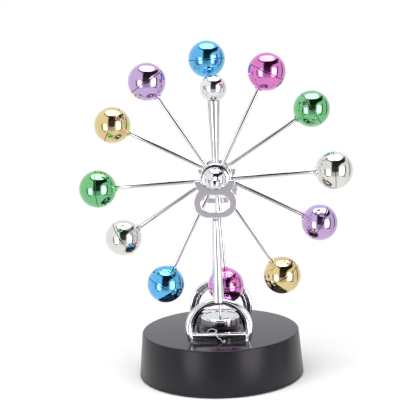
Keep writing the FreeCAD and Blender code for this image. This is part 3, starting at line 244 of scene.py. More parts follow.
@dataclass(frozen=True)
class CandyPlating(Finish):
    """Metallised plastic under tinted lacquer: a coloured mirror under a clear coat."""

    coat: float = 0.5
    coat_gloss: float = 0.02
    gloss: float = 0.045
    specks: float = 0.1
    haze: float = 0.02
    fade: float = 0.9
    ripple: float = 0.006

    def sockets(self, graph: Graph) -> dict:
        """Fill the sockets of the lacquered plating.

        Args:
            graph: The material's graph.

        Returns:
            What each socket gets.
        """
        cloud, speck = graph.cloud(55, 3, 0.35, 0.75), graph.cloud(900, 2, 0.62, 0.72)
        return {
            "Base Color": graph.blend(cloud, self.colour, self.shade(self.fade)),
            "Metallic": 1.0,
            "Roughness": speck * self.specks + cloud * self.haze + self.gloss,
            "Coat Weight": self.coat,
            "Coat Roughness": self.coat_gloss,
            "Normal": graph.bump(graph.noise(180, 2), self.ripple),
        }


@dataclass(frozen=True)
class SatinCase(Finish):
    """Satin charcoal paint with fine metal flake and faint wipe marks, polished brighter on the roof.

    Painted shade: soft ovals of matte black are mixed over the satin under the drum and round the
    stands' feet, to darken the roof there.
    """

    # Share of the painted shade's matte black at the middle of its ovals.
    painted_shade: float = 0.8
    feet: tuple[float, float] = (19.5, 11.0)
    feet_middle: float = 24.5
    drum: tuple[float, float] = (9.0, 16.0)
    roof: tuple[float, float] = (27.9, 28.6)
    gloss: float = 0.30
    polish: float = 0.17

    def surface(self, graph: Graph) -> Wire:
        """Lay soft ovals of painted shade, a matte black, into the paint.

        Args:
            graph: The material's graph.

        Returns:
            The surface.
        """
        side, deep = graph.axes()[:2]
        wide, long = (half * MM for half in self.feet)
        reach = ((side / wide) ** 2 + ((deep.size() - self.feet_middle * MM) / long) ** 2) ** 0.5
        inner, outer = (radius * MM for radius in self.drum)
        under = graph.ramp((side ** 2 + deep ** 2) ** 0.5, inner, outer, 1, 0)
        # Painted shade: the share of matte black, highest round the stands' feet and under the drum.
        share = (1.0 - (1.0 - graph.ramp(reach, 0.65, 1.1, 1, 0)) * (1.0 - under)) * self.painted_shade
        matt = {"Base Color": (*self.colour, 1.0), "Roughness": 0.6, "Specular IOR Level": 0.0}
        return graph.mix(share, super().surface(graph), graph.wire("ShaderNodeBsdfPrincipled", matt))

    def sockets(self, graph: Graph) -> dict:
        """Fill the sockets of the paint.

        Args:
            graph: The material's graph.

        Returns:
            What each socket gets.
        """
        low, high = (level * MM for level in self.roof)
        polish = graph.ramp(graph.axes()[2], low, high)
        flake = graph.cloud(5200, 1, 0.56, 0.72)
        wipe = graph.ramp(graph.noise(60, 3, (0.35, 2.2, 0.3)), 0.35, 0.75)
        return {
            "Base Color": graph.blend(flake * 0.35 + wipe * 0.15, self.colour, self.shade(1.6, 0.004)),
            "Roughness": wipe * 0.04 + self.gloss - polish * self.polish,
            "Specular IOR Level": 0.28,
            "Specular Tint": (0.93, 0.90, 1.0, 1.0),
            "Normal": graph.bump(graph.noise(3800, 2), 0.002, 0.4),
        }


@dataclass(frozen=True)
class Moulded(Finish):
    """Plain moulded plastic or rubber with a fine grain."""

    gloss: float = 0.5
    grain: float = 2500.0
    depth: float = 0.02
    fade: float = 0.8

    def sockets(self, graph: Graph) -> dict:
        """Fill the sockets of the plastic.

        Args:
            graph: The material's graph.

        Returns:
            What each socket gets.
        """
        cloud = graph.noise(80, 3)
        return {
            "Base Color": graph.blend(cloud, self.shade(self.fade), self.colour),
            "Roughness": cloud * 0.1 + self.gloss,
            "Normal": graph.bump(graph.noise(self.grain, 2), self.depth, 0.6),
        }


@dataclass(frozen=True)
class TurnedMetal(Finish):
    """Drawn or turned metal with fine tool marks."""

    gloss: float = 0.22
    marks: float = 3000.0
    fade: float = 0.75

    def sockets(self, graph: Graph) -> dict:
        """Fill the sockets of the metal.

        Args:
            graph: The material's graph.

        Returns:
            What each socket gets.
        """
        marks = graph.noise(self.marks, 2, (1.0, 0.06, 1.0))
        tarnish = graph.cloud(140, 3, 0.4, 0.75)
        return {
            "Base Color": graph.blend(tarnish, self.colour, self.shade(self.fade)),
            "Metallic": 1.0,
            "Roughness": marks * 0.16 + self.gloss,
            "Normal": graph.bump(marks, 0.006, 0.5),
        }


@dataclass(frozen=True)
class WoundWire(Finish):
    """Layers of fine enamelled wire about an upright axis, with painted shade in the grooves between the
    turns.
    """

    pitch: float = 0.25
    fade: float = 0.35

    def sockets(self, graph: Graph) -> dict:
        """Fill the sockets of the winding.

        Args:
            graph: The material's graph.

        Returns:
            What each socket gets.
        """
        height = graph.axes()[2] * (math.tau / (self.pitch * MM))
        ridge = graph.wire("ShaderNodeMath", {0: height}, operation="SINE") * 0.5 + 0.5
        return {
            # Painted shade: the colour darkens to the fade share in the grooves between turns.
            "Base Color": graph.blend(ridge, self.shade(self.fade), self.colour),
            "Metallic": 0.9,
            "Roughness": 0.32,
            "Normal": graph.bump(ridge, 0.08, 0.8),
        }


@dataclass(frozen=True)
class BoardMask(Finish):
    """Solder mask with the copper tracks showing through as lighter bands."""

    def sockets(self, graph: Graph) -> dict:
        """Fill the sockets of the mask.

        Args:
            graph: The material's graph.

        Returns:
            What each socket gets.
        """
        cells = {"Vector": graph.place(), "Scale": 260.0}
        edges = graph.wire("ShaderNodeTexVoronoi", cells, feature="DISTANCE_TO_EDGE")
        track = graph.ramp(edges, 0.1, 0.16)
        return {
            "Base Color": graph.blend(track, self.shade(1.9, 0.02), self.colour),
            "Roughness": 0.35,
            "Normal": graph.bump(1 - track, 0.03, 0.6),
        }


class Tone(Enum):
    """The finishes of the toy."""

    STAND = BrightPlating("stand_plating", (0.82, 0.82, 0.84))
    WHEEL = BrightPlating("wheel_plating", (0.84, 0.84, 0.85))
    PENDULUM = BrightPlating("pendulum_plating", (0.83, 0.83, 0.84), 0.03)
    ROD = BrightPlating("rod_plating", (0.66, 0.67, 0.69))
    LID = BrightPlating("lid_plating", (0.74, 0.76, 0.77), 0.06)
    BLUE = CandyPlating("blue_candy", (0.115, 0.49, 0.88))
    PINK = CandyPlating("pink_candy", (0.73, 0.21, 0.60))
    GREEN = CandyPlating("green_candy", (0.185, 0.565, 0.235))
    SILVER = CandyPlating("silver_candy", (0.75, 0.76, 0.71))
    PURPLE = CandyPlating("purple_candy", (0.57, 0.395, 0.70))
    GOLD = CandyPlating("gold_candy", (0.77, 0.62, 0.29))
    CASE = SatinCase("charcoal_case", (0.0105, 0.0100, 0.0125))
    UNDER = Moulded("under_case", (0.03, 0.03, 0.033), 0.5, 1800.0, 0.05)
    RUBBER = Moulded("foot_rubber", (0.02, 0.02, 0.02), 0.75, 1500.0, 0.05)
    # Painted shade: a near-black finish for the faces inside each ball's seam groove.
    SEAM = Moulded("ball_seam", (0.01, 0.01, 0.012), 0.6)
    NATURAL = Moulded("natural_plastic", (0.70, 0.70, 0.66), 0.4)
    BLACK = Moulded("black_moulding", (0.02, 0.02, 0.022), 0.35)
    RED = Moulded("wire_sleeve", (0.45, 0.03, 0.03), 0.4)
    CELL = Moulded("cell_wrap", (0.22, 0.23, 0.25), 0.25, 900.0, 0.01)
    MAGNET = TurnedMetal("magnet_face", (0.20, 0.20, 0.21), 0.35)
    STEEL = TurnedMetal("bright_steel", (0.62, 0.62, 0.64), 0.16)
    NICKEL = TurnedMetal("nickel_contact", (0.60, 0.59, 0.55), 0.2)
    BRASS = TurnedMetal("turned_brass", (0.72, 0.52, 0.22), 0.2)
    COPPER = WoundWire("coil_copper", (0.72, 0.28, 0.12))
    BOARD = BoardMask("board_mask", (0.02, 0.16, 0.06))


NODE_TONES = {
    "bottom_cover": Tone.UNDER,
    "battery_door": Tone.UNDER,
    "battery_cells": Tone.CELL,
    "battery_contacts": Tone.NICKEL,
    "coil_bobbin": Tone.NATURAL,
    "coil_winding": Tone.COPPER,
    "circuit_board": Tone.BOARD,
    "board_components": Tone.BLACK,
    "lead_wires": Tone.RED,
    "cover_screws": Tone.STEEL,
    "stand_screws": Tone.STEEL,
    "rubber_feet": Tone.RUBBER,
    "yoke_pins": Tone.STEEL,
    "bearing_bushes": Tone.BRASS,
    "axle": Tone.STEEL,
    "axle_spacers": Tone.NATURAL,
    "ratchet_wheel": Tone.STEEL,
    "pawl": Tone.BLACK,
    "pawl_pin": Tone.STEEL,
    "drum_magnet": Tone.MAGNET,
}


# ---- the modelling bench: steps made with operators, as by hand

AWAY = 1.0
AXLE_UP = Matrix.Rotation(math.radians(90), 4, "X")
SIDES = (("front", Matrix.Identity(4)), ("rear", Matrix.Rotation(math.pi, 4, "Z")))


def enter(mode: str) -> None:
    """Enter a mode."""
    bpy.ops.object.mode_set(mode=mode)


def select_mesh() -> None:
    """Select the whole of the mesh that is being edited."""
    bpy.ops.mesh.select_all(action="SELECT")


def clear() -> None:
    """Leave edit mode and select nothing."""
    if bpy.context.object and bpy.context.object.mode != "OBJECT":
        enter("OBJECT")
    bpy.ops.object.select_all(action="DESELECT")


def pick(*pieces: Piece) -> None:
    """Select only some pieces, and make the first one active.

    Args:
        pieces: The pieces.
    """
    clear()
    for piece in pieces:
        piece.select_set(True)
    bpy.context.view_layer.objects.active = pieces[0]


def turned(outline: Outline, steps: int = 96) -> Piece:
    """Turn an outline about Z, as on a lathe.

    Args:
        outline: Radius and height of each point in millimetres, from end to end.
        steps: Sides of the round.

    Returns:
        The piece, with its doubles merged and its faces outwards.
    """
    clear()
    bpy.ops.mesh.primitive_plane_add(size=MM)
    enter("EDIT")
    bpy.ops.mesh.select_mode(type="VERT")
    select_mesh()
    bpy.ops.mesh.merge(type="CENTER")
    points = [Vector((radius * MM, 0.0, height * MM)) for radius, height in outline]
    bpy.ops.transform.translate(value=points[0])
    for before, after in zip(points, points[1:]):
        bpy.ops.mesh.extrude_region_move(TRANSFORM_OT_translate={"value": after - before})
    select_mesh()
    bpy.ops.mesh.spin(steps=steps, angle=math.tau, center=(0, 0, 0), axis=(0, 0, 1))
    select_mesh()
    bpy.ops.mesh.remove_doubles(threshold=0.003 * MM)
    bpy.ops.mesh.normals_make_consistent(inside=False)
    enter("OBJECT")
    return bpy.context.object


def copied(piece: Piece) -> Piece:
    """Copy a piece with a mesh of its own.

    Args:
        piece: The piece.

    Returns:
        The copy.
    """
    pick(piece)
    bpy.ops.object.duplicate(linked=False)
    return bpy.context.object


def placed(piece: Piece, matrix: Matrix) -> Piece:
    """Move and turn a piece, and put its place into its mesh.

    Args:
        piece: The piece.
        matrix: The move and turn.

    Returns:
        The piece.
    """
    pick(piece)
    piece.matrix_world = matrix @ piece.matrix_world
    bpy.ops.object.transform_apply(location=True, rotation=True, scale=True)
    return piece


def block(height: float, sizes: Sequence[float]) -> Piece:
    """Start a piece from a block over the middle.

    Args:
        height: Height of its middle in millimetres.
        sizes: Its sizes in millimetres.

    Returns:
        The block.
    """
    clear()
    bpy.ops.mesh.primitive_cube_add(size=MM, location=(0, 0, height * MM))
    bpy.context.object.scale = sizes
    return placed(bpy.context.object, Matrix.Identity(4))


def joined(pieces: Sequence[Piece]) -> Piece:
    """Join pieces into one.

    Args:
        pieces: The pieces.

    Returns:
        The first of them, with the others in it.
    """
    pick(*pieces)
    bpy.ops.object.join()
    return pieces[0]


def select(piece: Piece, kind: str, wanted: Callable[..., bool]) -> None:
    """Enter edit mode with only the vertices or edges selected for which a test is true.

    Args:
        piece: The piece.
        kind: "VERT" or "EDGE".
        wanted: A test of a vertex's place, or of the places of an edge's two ends.
    """
    pick(piece)
    enter("EDIT")
    bpy.ops.mesh.select_mode(type=kind)
    bpy.ops.mesh.select_all(action="DESELECT")
    enter("OBJECT")
    places = [vertex.co for vertex in piece.data.vertices]
    if kind == "VERT":
        for vertex in piece.data.vertices:
            vertex.select = wanted(vertex.co)
    else:
        for edge in piece.data.edges:
            edge.select = wanted(*(places[end] for end in edge.vertices))
    enter("EDIT")


def ovaled(piece: Piece, ring: tuple[float, float], sizes: tuple[float, float], centre: float) -> None:
    """Draw a ring of vertices about the Y axis out to an upright oval.

    The ring ends up AWAY metres too high, clear of the rings that are still to be drawn out.

    Args:
        piece: The piece.
        ring: Radius and depth of the ring.
        sizes: Half the width and half the height of the oval.
        centre: Height of the oval's middle.
    """
    radius, depth = ring

    def on_ring(spot: Vector) -> bool:
        """Tell whether a vertex lies on the ring."""
        off = math.hypot(spot.x, spot.z) - radius * MM
        return abs(off) < 0.1 * MM and abs(spot.y - depth * MM) < 0.05 * MM

    select(piece, "VERT", on_ring)
    wide, tall = (size / radius for size in sizes)
    bpy.ops.transform.resize(value=(wide, 1, tall), center_override=(0, 0, 0))
    bpy.ops.transform.translate(value=(0, 0, centre * MM + AWAY))
    enter("OBJECT")


def sliced(piece: Piece, spot: Sequence[float], outwards: Sequence[float]) -> None:
    """Cut off what lies beyond a plane and close the cut.

    Args:
        piece: The piece.
        spot: A place on the plane in millimetres.
        outwards: The way towards what goes.
    """
    pick(piece)
    enter("EDIT")
    select_mesh()
    place = tuple(part * MM for part in spot)
    bpy.ops.mesh.bisect(plane_co=place, plane_no=outwards, use_fill=True, clear_outer=True)
    enter("OBJECT")


def hollowed(piece: Piece, form: Piece) -> Piece:
    """Cut a form out of a piece and take the form away.

    Args:
        piece: The piece.
        form: The form.

    Returns:
        The piece.
    """
    pick(piece)
    bpy.ops.object.modifier_add(type="BOOLEAN")
    cut = piece.modifiers[-1]
    cut.operation = "DIFFERENCE"
    cut.solver = "EXACT"
    cut.object = form
    bpy.ops.object.modifier_apply(modifier=cut.name)
    bpy.data.objects.remove(form)
    return piece


def rounded(piece: Piece, wanted: Callable[..., bool], width: float, steps: int = 6) -> None:
    """Round edges of a piece.

    Args:
        piece: The piece.
        wanted: A test of the places of an edge's two ends.
        width: Width of the rounding in millimetres.
        steps: Its steps.
    """
    select(piece, "EDGE", wanted)
    bpy.ops.mesh.bevel(offset=width * MM, segments=steps)
    enter("OBJECT")


def smoothed(piece: Piece, angle: float = 32.0, weighted: bool = False) -> Piece:
    """Shade a piece smooth up to an angle.

    Args:
        piece: The piece.
        angle: Edges above this many degrees stay sharp.
        weighted: Whether large flat faces keep their own normal.

    Returns:
        The piece.
    """
    pick(piece)
    bpy.ops.object.shade_smooth_by_angle(angle=math.radians(angle))
    if weighted:
        bpy.ops.object.modifier_add(type="WEIGHTED_NORMAL")
        piece.modifiers[-1].keep_sharp = True
        bpy.ops.object.modifier_apply(modifier=piece.modifiers[-1].name)
    return piece


def softened(node: str) -> Piece:
    """Copy a CAD node, merge its loose triangles and shade it smooth.

    Args:
        node: The node's name.

    Returns:
        The copy.
    """
    piece = bpy.data.objects.new("soft_copy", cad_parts[node].data.copy())
    bpy.context.scene.collection.objects.link(piece)
    pick(piece)
    enter("EDIT")
    select_mesh()
    bpy.ops.mesh.remove_doubles(threshold=0.002 * MM)
    enter("OBJECT")
    return smoothed(piece, 30.0, weighted=True)


def dressed(piece: Piece, name: str, tone: Tone, body: str, nodes: Names = ()) -> None:
    """Finish a piece.

    Args:
        piece: The piece.
        name: Its name.
        tone: Its finish.
        body: The body that it rides.
        nodes: The nodes that it stands for.
    """
    piece.name = piece.data.name = name
    piece.data.materials.clear()
    piece.data.materials.append(tone.value.material())
    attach(piece, body)
    if nodes:
        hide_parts(*nodes)
    LOG.info("%s on %s: %d faces", piece.name, body, len(piece.data.polygons))


def moved(x: float, y: float, z: float) -> Matrix:
    """Give a move in millimetres."""
    return Matrix.Translation(Vector((x, y, z)) * MM)


def arc(r: float, start: float, end: float, steps: int, centre: Sequence[float] = (0, 0)) -> Outline:
    """Give points on an arc of an outline, with angles from the radius axis in degrees."""
    turns = [math.radians(start + (end - start) * step / steps) for step in range(steps + 1)]
    return [(centre[0] + r * math.cos(turn), centre[1] + r * math.sin(turn)) for turn in turns]


def low_edge(radius: float, height: float, width: float, steps: int = 1) -> Outline:
    """Round the lower outer corner of an outline, or break it with one step."""
    return arc(width, -90, 0, steps, (radius - width, height + width))


def high_edge(radius: float, height: float, width: float, steps: int = 1) -> Outline:
    """Round the upper outer corner of an outline, or break it with one step."""
    return arc(width, 0, 90, steps, (radius - width, height - width))


# ---- the toy


@dataclass
class Wheel:
    """Twelve balls on arms in two rows, with hub discs, domes and axle caps."""

    hub_height: float = 127.7
    row_offset: float = 12.6
    phase: float = 3.1
    bore: float = 1.0
    ball_circle: float = 73.4
    ball_radius: float = 11.6
    seam: float = 0.2
    seam_depth: float = 0.3
    seam_lip: float = 0.03
    seam_turn: float = 0.8
    collar_radius: float = 2.4
    collar_height: float = 0.5
    collar_edge: float = 0.25
    arm_radius: float = 1.0
    arm_wide: float = 1.15
    arm_flat: float = 0.62
    arm_root: float = 5.6
    arm_grip: float = 2.0
    small_edge: float = 0.15
    hub_radius: float = 9.8
    hub_thickness: float = 3.0
    hub_edge: float = 0.55
    dome_radius: float = 8.0
    dome_wall: float = 1.0
    dome_ring: float = 1.2
    dome_foot: float = 0.15
    dome_foot_height: float = 0.12
    dome_start: float = 0.3
    dome_hole: float = 1.25
    dome_hole_drop: float = 0.55
    cap_radius: float = 3.0
    cap_height: float = 2.3
    cap_straight: float = 0.35
    cap_front: float = 30.6
    colours: tuple[Tone, ...] = (
        Tone.BLUE, Tone.PINK, Tone.GREEN, Tone.SILVER, Tone.PURPLE, Tone.GOLD,
        Tone.PINK, Tone.BLUE, Tone.SILVER, Tone.GREEN, Tone.GOLD, Tone.PURPLE,
    )

    def spoke(self, index: int) -> Matrix:
        """Give the place of a spoke whose own axis points up from the axle.

        Args:
            index: The spoke's number from 0.

        Returns:
            The place.
        """
        side = -1 if index % 2 else 1
        angle = math.radians(360 / len(self.colours) * index - self.phase)
        return moved(0, side * self.row_offset, self.hub_height) @ Matrix.Rotation(angle, 4, "Y")

    def ball(self) -> Piece:
        """Model a ball: two half shells with a seam, and the collar of the arm's socket.

        Returns:
            The ball.
        """
        r, low = self.ball_radius, -self.ball_radius - self.collar_height
        rim = math.degrees(math.acos(self.collar_radius / r))
        turn = math.degrees(self.seam / r) + self.seam_turn
        lip, bed = r - self.seam_lip, r - self.seam_depth
        outline = [(self.arm_radius, low)] + low_edge(self.collar_radius, low, self.collar_edge, 4)
        outline += arc(r, -rim, -turn, 30) + [(lip, -self.seam), (bed, -self.seam * 0.6)]
        return turned(outline + [(bed, self.seam * 0.6), (lip, self.seam)] + arc(r, turn, 90, 34))

    def arm(self) -> Piece:
        """Model an arm: a drawn rod, a little flat from front to rear, with broken ends.

        Returns:
            The arm.
        """
        r, root, edge = self.arm_radius, self.arm_root, self.small_edge
        top = self.ball_circle - self.ball_radius + self.arm_grip
        outline = [(0, root)] + low_edge(r, root, edge) + high_edge(r, top, edge) + [(0, top)]
        return placed(turned(outline, 32), Matrix.Diagonal((self.arm_wide, self.arm_flat, 1, 1)))

    def hub(self) -> Piece:
        """Model a hub disc with a rounded rim.

        Returns:
            The disc.
        """
        r, half, edge = self.hub_radius, self.hub_thickness / 2, self.hub_edge
        rim = low_edge(r, -half, edge, 6) + high_edge(r, half, edge, 6)
        return turned([(self.bore, -half)] + rim + [(self.bore, half), (self.bore, -half)], 128)

    def dome(self) -> Piece:
        """Model the dome over a hub, with a turned foot where it meets the disc.

        Returns:
            The dome.
        """
        r, half = self.dome_radius, self.hub_thickness / 2
        low = math.degrees(math.asin((half + self.dome_start) / r))
        foot = r + self.dome_foot
        outline = [(r - self.dome_ring, half), (foot, half), (foot, half + self.dome_foot_height)]
        outline += arc(r, low, 81.6, 40) + [(self.dome_hole, r - self.dome_hole_drop)]
        return turned(outline + arc(r - self.dome_wall, 80, 16, 16) + outline[:1], 128)

    def cap(self) -> Piece:
        """Model the round cap on an axle end.

        Returns:
            The cap.
        """
        r, straight = self.cap_radius, self.cap_straight
        rise = self.cap_height - straight
        crown = [(r * wide, straight + rise * high) for wide, high in arc(1.0, 0, 90, 20)]
        return turned([(self.bore, 0.0)] + low_edge(r, 0.0, self.small_edge) + crown, 64)

    def build(self) -> None:
        """Build the wheel and dress it."""
        hub_up, lift = moved(0, 0, self.hub_height), moved(0, 0, self.ball_circle)
        ball, arm = smoothed(self.ball()), smoothed(self.arm())
        for index, tone in enumerate(self.colours):
            number, spoke = "%02d" % (index + 1), self.spoke(index)
            piece, slot = placed(copied(ball), spoke @ lift), "ball_" + tone.name.lower()
            dressed(piece, "candy_ball_" + number, tone, "wheel", ["ball_" + number])
            self.paint_seam_shade(piece, spoke @ lift)
            piece = placed(copied(arm), spoke)
            dressed(piece, "spoke_arm_" + number, Tone.ROD, "wheel", ["arm_" + number])
        for form in (ball, arm):
            bpy.data.objects.remove(form)
        for side, turn in SIDES:
            row = hub_up @ turn @ moved(0, -self.row_offset, 0) @ AXLE_UP
            for name, node, form in (("hub_disc", "hub", self.hub), ("bright_dome", "dome", self.dome)):
                name, node = "%s_%s" % (side, name), "%s_%s" % (side, node)
                piece = smoothed(placed(form(), row), 40)
                dressed(piece, name, Tone.WHEEL, "wheel", [node])
        ends = [hub_up @ turn @ moved(0, -self.cap_front, 0) @ AXLE_UP for _, turn in SIDES]
        piece = smoothed(joined([placed(self.cap(), end) for end in ends]), 40)
        dressed(piece, "axle_end_caps", Tone.WHEEL, "wheel", ["axle_caps"])

    def paint_seam_shade(self, piece: Piece, place: Matrix) -> None:
        """Give the faces inside a ball's seam a near-black finish of their own: painted shade in the
        groove.

        Args:
            piece: The ball.
            place: Where the ball is.
        """
        # Painted shade: the seam's inner faces take the near-black finish.
        piece.data.materials.append(Tone.SEAM.value.material())
        home = place.inverted()
        for face in piece.data.polygons:
            spot = home @ face.center
            inside = math.hypot(spot.x, spot.y) < (self.ball_radius - 0.02) * MM
            if inside and abs(spot.z) < self.seam * 1.2 * MM:
                face.material_index = 1


@dataclass
class Pendulum:
    """Collar on the axle, counterweight ball on its rod, and the magnet drum on a thin rod."""

    hub_height: float = 127.7
    bore: float = 1.05
    collar_radius: float = 4.6
    collar_front: float = 8.3
    collar_rear: float = 7.0
    collar_edge: float = 0.3
    collar_fillet: float = 0.5
    flange_radius: float = 9.6
    flange_thickness: float = 1.2
    small_edge: float = 0.2
    rod_seat: float = 2.6
    upper_root: float = 1.8
    upper_tip: float = 3.9
    upper_grip: float = 0.6
    ball_circle: float = 55.6
    ball_radius: float = 8.4
    ball_hole_edge: float = 0.1
    ball_hole_depth: float = 0.9
    lower_rod: float = 0.7
    drum_radius: float = 12.3
    drum_bottom: float = 32.2
    drum_height: float = 5.7
    drum_wall: float = 1.6
    drum_round: float = 1.0
    drum_brim: float = 0.35
    drum_floor: float = 1.0
    lid_drop: float = 0.4
    lid_gap: float = 0.02
    lid_thickness: float = 1.0

    def build(self) -> None:
        """Build the pendulum and dress it."""
        for name, form, tone, node in (
            ("swing_collar", self.collar(), Tone.PENDULUM, "pendulum_collar"),
            ("tapered_upper_rod", self.upper_rod(), Tone.ROD, "pendulum_upper_rod"),
            ("bright_counterweight", self.counterweight(), Tone.PENDULUM, "counterweight_ball"),
            ("thin_lower_rod", self.rod(), Tone.ROD, "pendulum_lower_rod"),
            ("rimmed_drum", self.drum(), Tone.PENDULUM, "magnet_drum"),
            ("recessed_lid", self.lid(), Tone.LID, "drum_lid"),
        ):
            dressed(smoothed(form, 35), name, tone, "pendulum", [node])

    def collar(self) -> Piece:
        """Model the collar with the flange that carries the pawl.

        Returns:
            The collar.
        """
        r, rear, front = self.collar_radius, -self.collar_rear, self.collar_front
        flange, back, edge = self.flange_radius, front - self.flange_thickness, self.small_edge
        fillet = self.collar_fillet
        outline = [(self.bore, rear)] + low_edge(r, rear, self.collar_edge)
        outline += arc(fillet, 180, 90, 4, (r + fillet, back - fillet))
        outline += low_edge(flange, back, edge) + high_edge(flange, front, edge)
        outline += [(self.bore, front), (self.bore, rear)]
        return placed(turned(outline), moved(0, 0, self.hub_height) @ AXLE_UP)

    def upper_rod(self) -> Piece:
        """Model the upper rod, which widens from the collar to its ball.

        Returns:
            The rod.
        """
        root, seat = self.upper_root, self.hub_height + self.rod_seat
        top = self.hub_height + self.ball_circle - self.ball_radius + self.upper_grip
        collar = self.hub_height + self.collar_radius - self.small_edge
        return turned([(0, seat), (root, seat), (root, collar), (self.upper_tip, top), (0, top)], 64)

    def counterweight(self) -> Piece:
        """Model the counterweight ball, with the broken edge of its rod hole.

        Returns:
            The ball.
        """
        r, tip, edge = self.ball_radius, self.upper_tip, self.ball_hole_edge
        low = -math.degrees(math.acos((tip + edge) / r))
        middle = self.hub_height + self.ball_circle
        hole = (tip - edge, middle - r + self.ball_hole_depth)
        return turned([hole] + arc(r, low, 90, 56, (0.0, middle)))

    def rod(self) -> Piece:
        """Model the thin lower rod, with the small nut that holds it in the drum's lid.

        Returns:
            The rod.
        """
        r, seat = self.lower_rod, self.hub_height - self.rod_seat
        lid = self.drum_bottom + self.drum_height - self.lid_drop
        nut = [(r, lid + 0.5), (r + 0.25, lid + 0.1), (r + 0.3, lid), (r, lid - 0.05)]
        end = lid - self.lid_thickness
        return turned([(0, seat), (r, seat)] + nut + [(r, end), (0, end)], 32)

    def drum(self) -> Piece:
        """Model the drum: a cup with a rounded foot and a raised, rounded rim.

        Returns:
            The drum.
        """
        r, low, soft, brim = self.drum_radius, self.drum_bottom, self.drum_round, self.drum_brim
        high, inner, floor = low + self.drum_height, r - self.drum_wall, low + self.drum_floor
        outline = [(0, low)] + low_edge(r, low, soft, 8) + high_edge(r, high, soft, 10)
        outline += arc(brim, 90, 180, 5, (inner + brim, high - brim))
        return turned(outline + [(inner, floor), (0, floor)], 128)

    def lid(self) -> Piece:
        """Model the lid that lies below the drum's rim.

        Returns:
            The lid.
        """
        r = self.drum_radius - self.drum_wall - self.lid_gap
        high = self.drum_bottom + self.drum_height - self.lid_drop
        low, hole = high - self.lid_thickness, self.lower_rod + self.lid_gap
        rim = [(r, low)] + high_edge(r, high, self.small_edge)
        return turned([(hole, low)] + rim + [(hole, high), (hole, low)])


